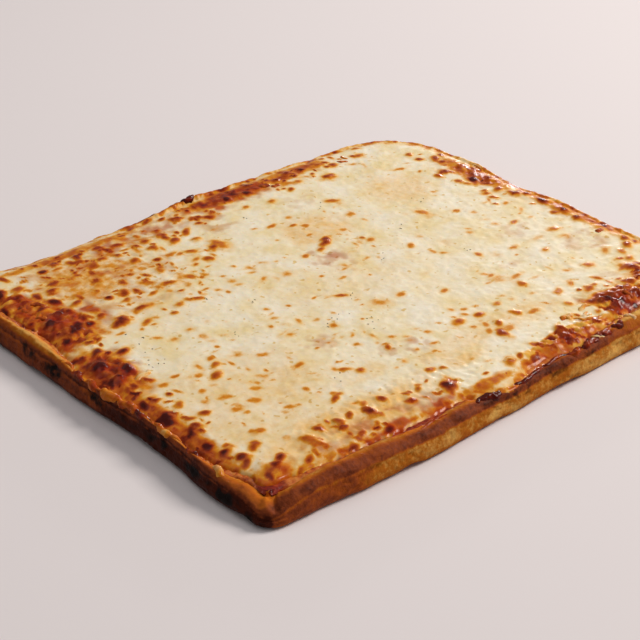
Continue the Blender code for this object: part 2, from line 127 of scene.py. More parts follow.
# The browned spots that stand out, in millimetres and degrees: x, y, length, width, the angle of the
# length, and how browned the middle is, from 0 to 1.
SPOTS_MM = (
    (-188, -58, 22, 13, 80, 1.10),
    (-186, -80, 16, 11, 60, 1.00),
    (-189, -38, 16, 9, 80, 0.90),
    (-188, -96, 14, 10, 70, 0.95),
    (-174, -52, 12, 8, 40, 0.70),
    (-182, -18, 12, 8, 50, 0.85),
    (-168, -69, 10, 8, 0, 0.85),
    (-184, -108, 17, 9, 15, 1.00),
    (-168, -114, 13, 8, 35, 0.80),
    (-181, -123, 12, 8, 40, 0.85),
    (-164, -132, 14, 8, 30, 0.95),
    (-179, -141, 12, 7, 70, 0.90),
    (-172, -137, 15, 9, 20, 0.92),
    (-161, -155, 10, 6, 10, 0.80),
    (-152, -143, 11, 6, 20, 0.84),
    (-138, -140, 9, 6, 60, 0.62),
    (-126, -150, 16, 9, 15, 0.80),
    (-114, -144, 12, 6, 15, 0.74),
    (-98, -150, 12, 8, 20, 0.90),
    (-146, -140, 9, 6, 60, 0.65),
    (-129, -125, 11, 9, 110, 0.85),
    (-118, -133, 12, 8, 35, 0.90),
    (-106, -125, 10, 7, 45, 0.75),
    (-95, -130, 15, 10, 90, 0.95),
    (-81, -125, 11, 8, 110, 0.80),
    (-69, -137, 11, 9, 0, 0.85),
    (-57, -130, 9, 7, 30, 0.70),
    (-41, -140, 20, 13, 52, 1.00),
    (-100, -106, 18, 6, 25, 0.75),
    (-137, -77, 14, 9, -30, 0.54),
    (-152, -78, 11, 7, -30, 0.60),
    (-128, -67, 12, 8, -30, 0.50),
    (-117, -58, 11, 7, -40, 0.52),
    (-148, -63, 13, 8, -20, 0.56),
    (-167, -28, 11, 7, -10, 0.58),
    (-113, -29, 12, 7, -30, 0.48),
    (-101, -39, 14, 8, -30, 0.52),
    (-156, -104, 13, 9, 20, 0.64),
    (-127, -95, 9, 6, -30, 0.56),
    (-116, 14, 9, 6, -20, 0.56),
    (-130, 11, 9, 6, -20, 0.54),
    (-56, 47, 9, 6, -20, 0.46),
    (-39, 36, 11, 6, 30, 0.50),
    (-92, -63, 12, 6, 15, 0.62),
    (-68, -92, 9, 7, 0, 0.80),
    (-37, -82, 9, 6, 50, 0.72),
    (-25, -96, 5, 5, 0, 0.60),
    (-41, -101, 7, 6, 0, 0.60),
    (-19, -105, 6, 5, 0, 0.62),
    (-155, -49, 8, 6, 20, 0.55),
    (-146, -33, 12, 8, 30, 0.56),
    (-137, -40, 14, 9, 40, 0.76),
    (-130, -30, 11, 7, 45, 0.68),
    (-128, -22, 9, 6, 40, 0.60),
    (-8, -126, 10, 6, 20, 0.40),
    (-2, -134, 8, 5, 0, 0.42),
    (-37, -119, 8, 7, 0, 0.72),
    (-29, -123, 6, 6, 0, 0.66),
    (-142, 51, 20, 14, 30, 0.97),
    (-161, 98, 18, 11, 95, 0.95),
    (-124, 105, 10, 8, 0, 0.80),
    (-68, 119, 10, 9, 0, 0.80),
    (-66, 131, 11, 9, 0, 0.82),
    (-54, 131, 9, 7, 20, 0.75),
    (-50, 119, 13, 8, 35, 0.80),
    (-36, 125, 14, 7, 40, 0.78),
    (-37, 111, 10, 8, 0, 0.72),
    (-36, 93, 12, 9, 35, 0.88),
    (-49, 82, 11, 8, -50, 0.80),
    (-90, 72, 18, 7, -18, 0.72),
    (-170, 60, 24, 15, 40, 1.00),
    (-178, 76, 17, 11, 20, 1.00),
    (-120, 80, 14, 10, 40, 0.85),
    (-102, 44, 10, 8, 20, 0.68),
    (-130, 40, 14, 7, 30, 0.66),
    (-186, 12, 20, 13, 35, 1.04),
    (-174, 0, 18, 13, 60, 1.02),
    (-189, -6, 14, 10, 0, 1.00),
    (-164, 18, 14, 10, 20, 0.92),
    (-184, 88, 16, 11, 70, 0.96),
    (-172, 96, 14, 9, 30, 0.90),
    (-160, 60, 13, 9, 40, 0.86),
    (-182, 52, 14, 9, 70, 0.92),
    (-172, 112, 12, 9, 20, 0.94),
    (-176, 28, 13, 9, 50, 0.90),
    (-148, 72, 12, 9, 10, 0.70),
    (-148, 120, 13, 9, 20, 0.78),
    (-170, 128, 15, 10, 30, 0.82),
    (-185, 130, 24, 17, 60, 1.15),
    (-190, 112, 16, 11, 80, 1.10),
    (-166, 84, 15, 10, 30, 0.90),
    (-151, 88, 12, 8, 20, 0.80),
    (-166, 112, 13, 9, 60, 0.95),
    (-154, 112, 12, 8, 10, 0.80),
    (-158, 70, 12, 8, 40, 0.76),
    (-104, 128, 13, 8, 10, 0.72),
    (-88, 112, 12, 8, 40, 0.72),
    (-84, 138, 14, 8, 0, 0.80),
    (-112, 92, 11, 8, 60, 0.74),
    (-80, 94, 10, 7, 30, 0.66),
    (-60, 100, 9, 6, 20, 0.62),
    (-20, 138, 11, 7, 10, 0.70),
    (17, 147, 15, 10, 60, 0.95),
    (34, 145, 15, 10, -20, 0.95),
    (52, 148, 10, 7, 0, 0.74),
    (77, 152, 12, 8, 30, 0.80),
    (75, 136, 9, 8, 0, 0.66),
    (98, 128, 15, 11, 0, 0.85),
    (114, 142, 11, 8, 20, 0.75),
    (40, 123, 9, 7, 20, 0.66),
    (20, 128, 8, 6, 0, 0.64),
    (73, 96, 13, 8, -25, 0.70),
    (15, 93, 12, 5, 10, 0.62),
    (33, 78, 9, 7, 30, 0.62),
    (26, 65, 8, 6, 0, 0.60),
    (69, 71, 10, 8, 40, 0.62),
    (27, 50, 19, 9, 42, 0.86),
    (17, 43, 9, 6, 20, 0.70),
    (3, 43, 9, 6, 10, 0.62),
    (52, 32, 11, 7, 30, 0.58),
    (33, 14, 8, 4, 0, 0.48),
    (12, 12, 12, 4, 10, 0.50),
    (2, 3, 11, 4, 0, 0.45),
    (68, 8, 9, 7, 35, 0.62),
    (73, -8, 11, 5, 90, 0.55),
    (189, 102, 12, 8, 60, 0.90),
    (175, 55, 18, 12, 60, 1.04),
    (177, 31, 10, 8, 40, 0.80),
    (168, 36, 8, 6, 0, 0.66),
    (155, 22, 8, 5, 0, 0.52),
    (165, 12, 9, 6, 10, 0.55),
    (187, 13, 12, 8, 40, 0.88),
    (187, -3, 16, 11, 70, 1.00),
    (188, -22, 13, 9, 60, 0.92),
    (185, -38, 12, 9, 40, 0.84),
    (191, -58, 13, 8, 60, 0.86),
    (187, -80, 12, 8, 60, 0.80),
    (180, 100, 13, 9, 60, 0.85),
    (170, 118, 9, 7, 40, 0.70),
    (129, 26, 9, 6, 0, 0.58),
    (147, -13, 12, 6, 10, 0.64),
    (162, -15, 7, 4, 0, 0.48),
    (160, -39, 12, 9, -10, 0.66),
    (119, -40, 10, 6, 0, 0.60),
    (90, -70, 15, 6, 10, 0.58),
    (77, -59, 9, 6, 20, 0.60),
    (132, -57, 10, 7, 20, 0.64),
    (15, -39, 10, 7, 10, 0.58),
    (40, -53, 8, 6, 0, 0.60),
    (18, -88, 13, 8, 10, 0.74),
    (35, -90, 10, 8, 0, 0.72),
    (32, -79, 6, 5, 0, 0.56),
    (53, -88, 9, 6, 20, 0.62),
    (55, -105, 9, 6, 40, 0.70),
    (95, -102, 13, 7, 35, 0.66),
    (28, -117, 16, 9, 85, 0.86),
    (36, -106, 10, 7, 60, 0.78),
    (110, -100, 9, 6, 30, 0.55),
    (138, -90, 12, 10, -20, 0.64),
    (152, -108, 12, 8, 20, 0.70),
    (170, -92, 10, 8, 60, 0.62),
    (176, -118, 14, 9, 50, 0.80),
    (160, -136, 13, 9, 20, 0.82),
    (101, -125, 15, 9, -30, 0.86),
    (108, -131, 15, 10, -50, 0.84),
    (115, -138, 14, 10, -40, 0.88),
    (121, -146, 10, 9, 0, 1.00),
    (133, -128, 14, 9, 50, 0.66),
    (84, -146, 14, 7, -60, 0.86),
    (88, -152, 10, 7, -40, 0.90),
    (59, -136, 12, 8, 60, 0.84),
    (75, -130, 10, 6, 40, 0.74),
    (24, -156, 15, 9, 20, 0.86),
    (35, -150, 10, 7, 20, 0.72),
    (50, -163, 14, 7, 10, 0.95),
    (62, -160, 12, 7, 20, 0.84),
    (180, -88, 14, 9, 40, 0.80),
    (166, -102, 11, 8, 30, 0.72),
)

# Stretches where small browned spots crowd: the middle, the reach along X and Y, how many there are
# against the others, and how browned they are.
BROWN_STRETCHES_MM = (
    (-118, 92, 78, 58, 1.00, 0.54),
    (-186, 20, 20, 90, 1.20, 0.74),
    (-188, -80, 16, 60, 0.90, 0.68),
    (-110, -136, 100, 18, 0.50, 0.62),
    (-95, 140, 90, 20, 1.20, 0.70),
    (30, 146, 110, 17, 1.40, 0.74),
    (178, 60, 20, 70, 0.80, 0.66),
    (186, -30, 14, 70, 0.60, 0.56),
    (60, -146, 70, 18, 0.30, 0.60),
    (140, -130, 50, 30, 1.00, 0.70),
    (-110, -60, 60, 40, 0.34, 0.34),
    (60, -95, 80, 30, 0.34, 0.48),
    (110, -55, 60, 30, 0.14, 0.36),
    (20, 60, 60, 50, 0.14, 0.40),
    (0, 0, 200, 160, 0.02, 0.34),
)

# Stretches where fine amber specks and streaks lie on the cheese, in the same order.
AMBER_STRETCHES_MM = (
    (-95, -40, 90, 60, 0.60, 0.27),
    (-130, -80, 60, 50, 0.60, 0.27),
    (-40, -85, 60, 40, 0.45, 0.27),
    (30, 60, 90, 60, 0.34, 0.18),
    (130, 70, 60, 70, 0.26, 0.17),
    (70, -90, 80, 26, 0.60, 0.26),
    (150, -30, 50, 60, 0.36, 0.24),
    (-110, 80, 90, 60, 0.80, 0.36),
    (0, 0, 200, 160, 0.16, 0.19),
)

# Stretches that are baked orange all over, with the strength of the browning.
TOAST_STRETCHES_MM = (
    (-178, -142, 22, 14, 0.34),
    (-170, -112, 22, 26, 0.10),
    (-110, -149, 90, 8, 0.16),
    (-190, -62, 9, 80, 0.50),
    (-184, 6, 18, 36, 0.58),
    (-172, 70, 24, 34, 0.48),
    (-128, 112, 50, 34, 0.24),
    (-188, 132, 12, 14, 0.60),
    (52, -148, 56, 16, 0.12),
    (110, -128, 16, 10, 0.56),
    (124, -140, 16, 12, 0.60),
    (150, -130, 34, 22, 0.24),
    (-20, -152, 26, 6, 0.40),
    (18, 151, 46, 12, 0.62),
    (80, 152, 40, 10, 0.50),
    (-120, 150, 70, 6, 0.40),
    (184, 62, 12, 44, 0.50),
    (190, -20, 10, 84, 0.38),
)

# Stretches where shreds of cheese lie loose on the edge: the middle, the reach, how many there are
# against the others, and how browned they are.
SHRED_STRETCHES_MM = (
    (28, -150, 30, 12, 0.80, 0.04),
    (66, -144, 36, 16, 1.00, 0.05),
    (92, -138, 26, 14, 0.80, 0.12),
    (120, -134, 20, 12, 0.70, 0.60),
    (-187, -36, 8, 44, 0.50, 0.26),
    (-186, 12, 10, 26, 0.50, 0.44),
    (-182, 102, 12, 20, 0.60, 0.60),
    (18, 154, 46, 8, 0.40, 0.60),
    (100, 150, 50, 8, 0.25, 0.44),
    (188, 50, 8, 44, 0.40, 0.40),
    (188, -40, 8, 60, 0.25, 0.34),
    (150, -146, 40, 8, 0.35, 0.46),
)

# Stretches where the sauce is bare, wet and red, against baked to an orange skin.
WET_STRETCHES_MM = (
    (-95, -154, 62, 10, 1.0),
    (-178, 102, 18, 24, 1.0),
    (44, -150, 16, 16, 0.9),
    (96, -138, 30, 16, 0.8),
    (-182, -144, 12, 12, 1.0),
)

# Burnt lumps on the rim: the place, the length and the radius in millimetres, and the browning.
RIM_LUMPS_MM = (
    (-29, -166, 23, 2.8, 1.00),
    (47, -166, 14, 2.2, 0.74),
    (60, -166, 16, 2.8, 0.80),
    (75, -166, 16, 2.6, 0.82),
    (90, -166, 12, 2.4, 0.86),
    (-4, 170, 14, 2.6, 0.92),
    (40, 170, 10, 2.0, 0.92),
    (-200, 134, 24, 3.2, 0.96),
    (-200, 116, 12, 2.4, 0.88),
    (-200, 16, 12, 2.0, 0.80),
    (-200, -44, 16, 1.7, 0.86),
    (-200, -94, 12, 1.5, 0.84),
)

# Strands of melted cheese along the rim, in the same order.
RIM_STRANDS_MM = (
    (-200, 2, 14, 2.4, 0.50),
    (-200, -15, 19, 3.0, 0.44),
    (-200, -32, 18, 2.8, 0.50),
    (-200, -118, 12, 2.4, 0.22),
    (-200, -68, 26, 2.0, 0.30),
    (-200, 30, 14, 1.6, 0.40),
    (-68, -166, 40, 1.1, 0.70),
    (0, -166, 44, 1.5, 0.86),
    (30, -166, 26, 1.4, 0.88),
    (196, 70, 24, 1.4, 0.34),
    (196, -45, 20, 1.3, 0.34),
)

# The pieces that lie on the rim: the name, the table, the rings along each, the points round a ring,
# how craggy it is, how far in it lies as a share of the rim's width, and the two powers that close it.
RIM_BITS = (
    ("charred_lumps", RIM_LUMPS_MM, 30, 20, 0.44, 0.54, 2, 0.5),
    ("rim_strands", RIM_STRANDS_MM, 40, 12, 0.36, 0.60, 4, 1.0),
)

# Where dried herb flecks lie: x and y in millimetres.
HERBS_MM = (
    (-155, -8),
    (-148, 15),
    (-148, 27),
    (-97, -10),
    (-35, -35),
    (-46, -38),
    (-23, -54),
    (-19, -54),
    (-83, -88),
    (-150, -2),
    (-12, -20),
    (40, 8),
    (80, 30),
    (96, -20),
    (120, 60),
    (60, 100),
    (-60, 20),
    (-84, 40),
    (10, 112),
)

# Stretches where the cheese is thin and the sauce shows through, and one wide stretch over the near
# left that is painted shade: the middle, the reach, the strength.
THIN_AND_SHADE_STRETCHES_MM = (
    (14, 30, 20, 24, 0.55),
    (-64, -50, 16, 14, 0.45),
    (100, -52, 18, 12, 0.40),
    (165, -65, 22, 16, 0.45),
    (-12, 122, 18, 26, 0.40),
    (-32, -90, 22, 16, 0.45),
    (-178, 100, 20, 26, 1.00),
    (-90, -150, 90, 9, 0.90),
    (-176, -144, 18, 14, 0.90),
    (50, -152, 48, 12, 0.85),
    (118, -138, 28, 14, 0.80),
    (-186, 60, 12, 40, 0.80),
    (-180, 10, 20, 44, 0.85),
    (-166, 76, 28, 38, 0.85),
    (-128, 112, 54, 40, 0.55),
    (20, 148, 60, 16, 0.80),
    (-70, 140, 60, 16, 0.60),
    (184, 55, 14, 54, 0.42),
    (191, -30, 8, 84, 0.34),
    (-188, -90, 10, 50, 0.55),
    (-110, -140, 90, 12, 0.55),
    (140, -22, 26, 14, 0.30),
    # Painted shade: a wide tint that darkens the cream towards the near left.
    (-140, -70, 90, 90, 0.14),
    (60, 110, 26, 16, 0.25),
)

# Stretches where clear yellow oil has pooled, and one wide stretch over the near left that is painted
# shade: the middle, the reach, the strength.
OIL_AND_SHADE_STRETCHES_MM = (
    (35, 70, 34, 28, 0.50),
    (125, 80, 34, 36, 0.42),
    (0, 0, 90, 60, 0.22),
    (-120, -70, 50, 34, 0.36),
    (-190, -20, 16, 90, 0.75),
    (50, -154, 50, 12, 0.75),
    (-120, 70, 70, 60, 0.24),
    # Painted shade: a wide tint that darkens and yellows the cream towards the near left.
    (-140, -80, 90, 80, 0.34),
    (-110, -130, 90, 24, 0.62),
    (30, -108, 80, 16, 0.40),
    (-12, -124, 22, 8, 0.46),
    (-70, -96, 26, 12, 0.34),
    (-120, -120, 60, 20, 0.30),
)

# Where the cheese has slid off and the wet sauce is bare: the middle, the reach, the strength.
BARE_STRETCHES_MM = (
    (-176, 106, 11, 13, 1.00),
    (-183, 90, 6, 10, 0.90),
    (-120, -156, 30, 5, 0.85),
    (-70, -156, 26, 5, 0.90),
    (98, -120, 7, 10, 0.45),
    (36, -150, 8, 8, 0.70),
    (76, -137, 8, 9, 0.45),
)

# Where shreds of cheese and sauce stand up in lumps: the middle, the reach, the height in millimetres.
LUMPY_STRETCHES_MM = (
    (60, -150, 58, 17, 2.9),
    (118, -136, 26, 18, 3.0),
    (-180, 104, 18, 24, 2.6),
    (-174, 66, 20, 32, 2.6),
    (-130, -148, 60, 14, 1.2),
    (-180, 6, 15, 28, 2.6),
    (20, 150, 60, 10, 0.9),
    (-110, 100, 70, 50, 0.7),
    (-90, -130, 110, 22, 1.1),
    (188, 50, 12, 54, 1.5),
    (191, -30, 9, 84, 1.4),
)

# The way that the melted shreds are drawn out.
GRAIN_ANGLE = math.radians(-38)

# The pinched fold of dough at the near corner: where it starts, the way that it runs, its length, its
# height and its half width.
PINCH_START = np.array([-0.181, -0.1455])
PINCH_WAY = np.array([-0.742, -0.670])
PINCH_LENGTH = 0.026
PINCH_HEIGHT = 0.0032
PINCH_WIDTH = 0.0034

# Where the crust's colour differs from the rest, as the middle and the reach along X and Y: the darker
# wall at the near corner, partly painted shade, the paler rim near the right one, the pale hump and
# the fold that orange oil ran over.
DARK_CORNER_MM = (-180, -168, 48, 48)
PALE_RIM_MM = (125, -158, 40, 40)
PALE_HUMP_MM = (-199, 62, 10, 34)
OILED_FOLD_MM = (-191, -142, 26, 26)

# Charred places on the crust, and on the left wall painted shade too: x, y, the reach along X and Y,
# and the strength. The height is from the base, with its own reach.
CHAR_AND_SHADE_MM = (
    (-120, -168, 22, 9, 14, 5, 0.40),
    (-31, -168, 12, 6, 15, 4, 0.50),
    (-5, -168, 20, 6, 12, 4, 0.65),
    (22, -168, 18, 6, 12, 4, 0.75),
    (60, -167, 26, 5, 14, 4, 0.60),
    (140, -166, 18, 7, 15, 5, 0.70),
    (175, -160, 14, 8, 14, 6, 0.80),
    # The rows on the left wall, x about −200, are partly char and partly painted shade.
    (-203, -64, 8, 20, 9, 6, 1.00),
    (-203, -38, 7, 12, 9, 6, 0.80),
    (-203, -100, 8, 14, 8, 5, 0.80),
    (-202, -128, 6, 18, 7, 5, 0.95),
    (-198, -150, 7, 12, 3, 5, 0.90),
    (-203, -6, 7, 16, 10, 5, 0.70),
    (-203, 38, 7, 12, 10, 6, 0.85),
    (-204, 66, 6, 12, 12, 6, 0.70),
    (-200, 118, 12, 16, 15, 6, 0.90),
    (-4, 170, 14, 8, 16, 6, 0.95),
    (40, 171, 9, 7, 16, 6, 0.90),
    (-60, 168, 24, 8, 15, 6, 0.55),
    (84, 170, 22, 7, 14, 6, 0.60),
    (202, 50, 8, 16, 15, 6, 0.70),
    (202, 84, 7, 12, 15, 6, 0.70),
    (202, -60, 7, 22, 14, 6, 0.50),
)


# The studio's lights: the name, the setting that holds the power, the side, the place, the colour.
LIGHTS = (
    ("key_softbox", "key", 1.1, (2.30, -0.87, 1.98), "#FFFAF4"),
    ("top_softbox", "top", 1.6, (-0.1, 0.3, 1.9), "#FFFFFF"),
    ("glint_softbox", "glint", 0.20, (2.39, 1.74, 0.56), "#FFFFFF"),
)
SKY = "#F6F4F4"

# The camera, as the perspective of the pizza's outline gives it: the place, how far it looks down and
# how far it is turned in degrees, and the lens and the sensor in millimetres.
CAMERA_PLACE = np.array([-0.6711, -0.7530, 0.559])
CAMERA_DOWN = 29.56
CAMERA_TURN = -40.81
LENS_MM = 98.04
SENSOR_MM = 36.0


def linear(code):
    """An sRGB hex colour as linear red, green, blue and alpha: the piecewise sRGB curve, undone."""
    parts = np.array([int(code[place : place + 2], 16) for place in (1, 3, 5)]) / 255
    curve = np.where(parts <= 0.04045, parts / 12.92, ((parts + 0.055) / 1.055) ** 2.4)
    return (*(float(part) for part in curve), 1.0)


def smooth(value):
    """A ramp from 0 to 1 with flat ends: 3t² − 2t³ of the value held between 0 and 1."""
    held = np.clip(value, 0.0, 1.0)
    return held * held * (3 - 2 * held)


def scrambled(cells, seed):
    """A fixed pseudo-random number from −1 to 1 for each whole-numbered cell: its three numbers are
    multiplied by large primes, mixed by shifts, and cut to 16 bits."""
    mixed = (cells * np.array([73856093, 19349663, 83492791])).sum(axis=-1) + seed * 26544357
    mixed = (mixed ^ (mixed >> 13)) * 1274126177
    mixed = (mixed ^ (mixed >> 16)) * 668265263
    return ((mixed ^ (mixed >> 15)) & 0xFFFF) / 32767.5 - 1


def noise(points, size, seed=0):
    """Smooth noise from about −1 to 1 with lumps of that size: at each corner of a cubic lattice a
    random slope is followed to the point, and the eight results are blended by 6t⁵ − 15t⁴ + 10t³."""
    scaled = points / size + seed * 17.31
    cell = np.floor(scaled).astype(np.int64)
    inside = scaled - cell
    blend = inside**3 * (inside * (inside * 6 - 15) + 10)
    total = 0.0
    for corner in range(8):
        step = np.array([corner & 1, corner >> 1 & 1, corner >> 2 & 1])
        weight = np.prod(np.where(step == 1, blend, 1 - blend), axis=-1)
        away = inside - step
        slope = [scrambled(cell + step, seed * 3 + axis) for axis in range(3)]
        total = total + weight * sum(away[..., axis] * slope[axis] for axis in range(3))
    return 1.3 * total


def layered(points, size, layers, seed=0):
    """Noise over noise: each layer has half the size and half the strength of the one before."""
    total = 0.0
    for layer in range(layers):
        total = total + noise(points, size / 2**layer, seed + layer) / 2**layer
    return total


def flat_points(x, y, level=0.0):
    """Points of a plan as an array whose last axis is X, Y and a fixed level."""
    return np.stack([x, y, np.full_like(x, level)], axis=-1)


def far_from(x, y, row):
    """How far each place is from the middle of a table's row, as a share of the row's reach. The row
    starts with the middle and the reach along X and Y, in millimetres."""
    middle_x, middle_y, reach_x, reach_y = (value * MM for value in row[:4])
    return np.hypot((x - middle_x) / reach_x, (y - middle_y) / reach_y)


def stretches(x, y, table, seed):
    """The strongest of the table's soft ovals at each place: the strength times a bell of the
    distance over the reach, whose edge wanders with noise."""
    wander = 0.30 * layered(flat_points(x, y), 0.022, 2, seed)
    total = np.zeros_like(x)
    for row in table:
        bell = 1 - smooth((far_from(x, y, row) + wander - 0.35) / 0.9)
        total = np.maximum(total, row[4] * bell)
    return total


class Walk:
    """A walk round the outline, anticlockwise from the front left corner, with a point about every
    spacing. Each point lies between the ends of two corner arcs, or on one of them."""

    def __init__(self, spacing):
        rows = []
        for turn, (sign_x, sign_y, radius) in enumerate(CORNERS):
            next_x, next_y, next_radius = CORNERS[(turn + 1) % 4]
            arc = round(radius * math.pi / 2 / spacing)
            for step in range(arc + 1):
                angle = math.pi * (1 + turn / 2 + step / arc / 2)
                rows.append((sign_x, sign_y, radius, sign_x, sign_y, radius, 0.0, angle))
            side = LENGTH if turn % 2 == 0 else WIDTH
            count = round((side - radius - next_radius) / spacing)
            angle = math.pi * (1.5 + turn / 2)
            for step in range(1, count):
                rows.append(
                    (sign_x, sign_y, radius, next_x, next_y, next_radius, step / count, angle)
                )
        table = np.array(rows)
        self.ends = ((table[:, 0:2], table[:, 2]), (table[:, 3:5], table[:, 5]))
        self.fraction = table[:, 6]
        self.normal = np.stack([np.cos(table[:, 7]), np.sin(table[:, 7])], axis=-1)
        self.outline = self.inwards(np.zeros(len(table)))
        self.shift, self.height, self.width, self.margin, self.hang = self.rim()

    def inwards(self, inset):
        """The outline moved inwards by an inset at each point: corner arcs shrink about their middles,
        down to 4 mm, and straight sides run between the arcs' ends."""
        half = np.array([LENGTH / 2, WIDTH / 2])
        found = []
        for sign, radius in self.ends:
            held = np.maximum(radius - inset, 0.004)
            middle = sign * (half - (inset + held)[..., None])
            found.append(middle + self.normal * held[..., None])
        return found[0] + (found[1] - found[0]) * self.fraction[:, None]

    def rim(self):
        """The rim's values at each point: the sides' values weighed by how squarely the point faces
        each side, plus a bell of the distance to each place in the table of changes."""
        values = np.zeros((5, len(self.outline)))
        for face_x, face_y, height, width, margin in SIDES:
            share = np.maximum(self.normal @ np.array([face_x, face_y]), 0.0) ** 2
            values[1:4] += share * np.array([height, width, margin])[:, None]
        for row in RIM_CHANGES:
            far = np.hypot(*(self.outline - np.array(row[:2])).T)
            values += np.exp(-((far / row[2]) ** 2)) * np.array(row[3:8])[:, None]
        level = flat_points(*self.outline.T)
        values[0] += 0.0010 * noise(level, 0.030, 5)
        values[2] = np.maximum(values[2], 0.0045)
        values[3] = np.maximum(values[3], 0.0006)
        return values

    def ring(self, inset, height):
        """The ring of 3D points at an inset and a height for each point of the outline."""
        plan = self.inwards(inset) + self.normal * self.shift[:, None]
        return np.concatenate([plan, height[..., None]], axis=-1)


def smooth_rows(table, places):
    """Values between a table's rows: a Catmull-Rom curve through the rows, read at each place, where
    0 is the first row and 1 the second."""
    rows = np.array(table, float)
    first = np.clip(np.floor(places).astype(int), 0, len(rows) - 2)
    part = (places - first)[:, None]
    before = rows[np.maximum(first - 1, 0)]
    start = rows[first]
    end = rows[first + 1]
    after = rows[np.minimum(first + 2, len(rows) - 1)]
    return start + 0.5 * part * (
        end - before + part * (
            2 * before - 5 * start + 4 * end - after + part * (3 * (start - end) + after - before)
        )
    )


def outward(grid):
    """Unit normals of a grid of rings: the cross product of the step along the ring and the step to
    the next ring."""
    along = np.roll(grid, -1, axis=1) - np.roll(grid, 1, axis=1)
    across = np.gradient(grid, axis=0)
    normal = np.cross(along, across)
    return normal / np.maximum(np.linalg.norm(normal, axis=-1, keepdims=True), 1e-12)


def mesh_piece(name, points, faces, replaced=(), values=None, material=None):
    """Makes a smooth-shaded mesh object from arrays, gives it its point values, and fits it to the
    frame: it rides on the one body and stands for the solids that it replaces."""
    mesh = bpy.data.meshes.new(name)
    mesh.from_pydata(points + PLAN_SHIFT, [], faces)
    mesh.validate()
    mesh.shade_smooth()
    for label, value in (values or {}).items():
        layer = mesh.attributes.new(label, "FLOAT", "POINT")
        layer.data.foreach_set("value", np.ascontiguousarray(value, np.float32).ravel())
    mesh.materials.append(material)
    piece = bpy.data.objects.new(name, mesh)
    bpy.context.scene.collection.objects.link(piece)
    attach(piece, "root")
    if replaced:
        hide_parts(*replaced)
    return piece


def ring_faces(rings, count, bottom=True, top=True):
    """Four-sided faces between neighbouring rings of the same count, with one flat face over each
    open end."""
    here = np.arange(count)
    there = (here + 1) % count
    lower = np.arange(rings - 1)[:, None] * count
    quads = np.stack(
        [lower + here, lower + there, lower + count + there, lower + count + here], axis=-1
    )
    faces = quads.reshape(-1, 4).tolist()
    if bottom:
        faces.append(here[::-1].tolist())
    if top:
        faces.append(((rings - 1) * count + here).tolist())
    return faces


# The properties that several nodes share: a sum with a multiple, a ramp with soft ends, a colour laid
# over another, and a colour that tints another.
SCALED = {"operation": "MULTIPLY_ADD"}
SOFT_ENDS = {"interpolation_type": "SMOOTHSTEP"}
COVER = {"data_type": "RGBA", "blend_type": "MIX"}
TINT = {"data_type": "RGBA", "blend_type": "MULTIPLY"}

# The output that is read, for the kinds of node where it isn't the first.
OUTPUTS = {"TexCoord": "Object", "Attribute": "Fac", "Mix": 2}


def add_node(tree, kind, inputs=None, settings=None, stops=()):
    """Adds a shader node, sets its properties, then sets each input to a value or links it to a
    socket. The stops are a colour ramp's places and colours. Returns the output that is read."""
    node = tree.nodes.new(f"ShaderNode{kind}")
    for label, value in (settings or {}).items():
        setattr(node, label, value)
    for label, value in (inputs or {}).items():
        if isinstance(value, bpy.types.NodeSocket):
            tree.links.new(value, node.inputs[label])
        else:
            node.inputs[label].default_value = value
    for number, (place, shade) in enumerate(stops):
        elements = node.color_ramp.elements
        element = elements[number] if number < 2 else elements.new(place)
        element.position = place
        element.color = (*shade, 1.0)
    return node.outputs[OUTPUTS.get(kind, 0)] if node.outputs else None


def new_material(name):
    """An empty node material, and the function that adds a node to it."""
    material = bpy.data.materials.new(name)
    material.use_nodes = True
    material.node_tree.nodes.clear()
    return material, functools.partial(add_node, material.node_tree)


def baked_dough(look):
    """Pan-baked bread crust: fine matt crumb, tan where the oiled pan held it, brown and slightly
    glossy over the shoulder, black where it caught. Its grain is 1 to 3 mm. Its browning and char
    also carry painted shade on the left wall and at the near corner."""
    material, add = new_material("baked_bread_crust")
    place = add("TexCoord")
    bake, char, grease = (
        add("Attribute", settings={"attribute_name": label}) for label in ("bake", "char", "grease")
    )
    grain, blotch = (
        add("TexNoise", {"Vector": place, "Scale": scale, "Detail": detail, "Roughness": uneven})
        for scale, detail, uneven in ((360, 4, 0.7), (95, 3, 0.6))
    )
    mottle = add("Math", {0: grain, 1: 0.60, 2: -0.30}, SCALED)
    patchy = add("Math", {0: blotch, 1: 0.50, 2: -0.25}, SCALED)
    varied = add("Math", {0: mottle, 1: patchy})
    browning = add("Math", {0: bake, 1: varied})
    # The darker stops also colour the painted shade on the left wall.
    baked = add(
        "ValToRGB",
        {"Fac": browning},
        stops=(
            (0.0, look.pale),
            (0.25, look.golden),
            (0.50, look.brown),
            (0.75, look.dark),
            (1.0, look.darkest_bake_and_shade),
        ),
    )
    greased = add("Mix", {"Factor": grease, 6: baked, 7: (*look.grease, 1.0)}, COVER)
    # Char covers the colour; on the left wall it is partly painted shade.
    char_and_shade_cover = add("Math", {0: char, 1: varied})
    char_and_shade_cover = add("MapRange", {"Value": char_and_shade_cover, "From Min": 0.30, "From Max": 0.75})
    coloured = add("Mix", {"Factor": char_and_shade_cover, 6: greased, 7: (*look.char, 1.0)}, COVER)
    roughness = add(
        "MapRange",
        {"Value": browning, "From Min": 0.2, "From Max": 0.9, "To Min": 0.78, "To Max": 0.44},
    )
    fine = add("Bump", {"Height": grain, "Strength": 0.60, "Distance": 0.0010})
    rough = add("Bump", {"Height": blotch, "Strength": 0.5, "Distance": 0.0016, "Normal": fine})
    shader = add(
        "BsdfPrincipled",
        {
            "Base Color": coloured,
            "Roughness": roughness,
            "IOR": 1.45,
            "Specular IOR Level": 0.06,
            "Subsurface Weight": 0.06,
            "Subsurface Radius": (0.6, 0.3, 0.12),
            "Subsurface Scale": 0.002,
            "Normal": rough,
        },
    )
    add("OutputMaterial", {"Surface": shader})
    return material


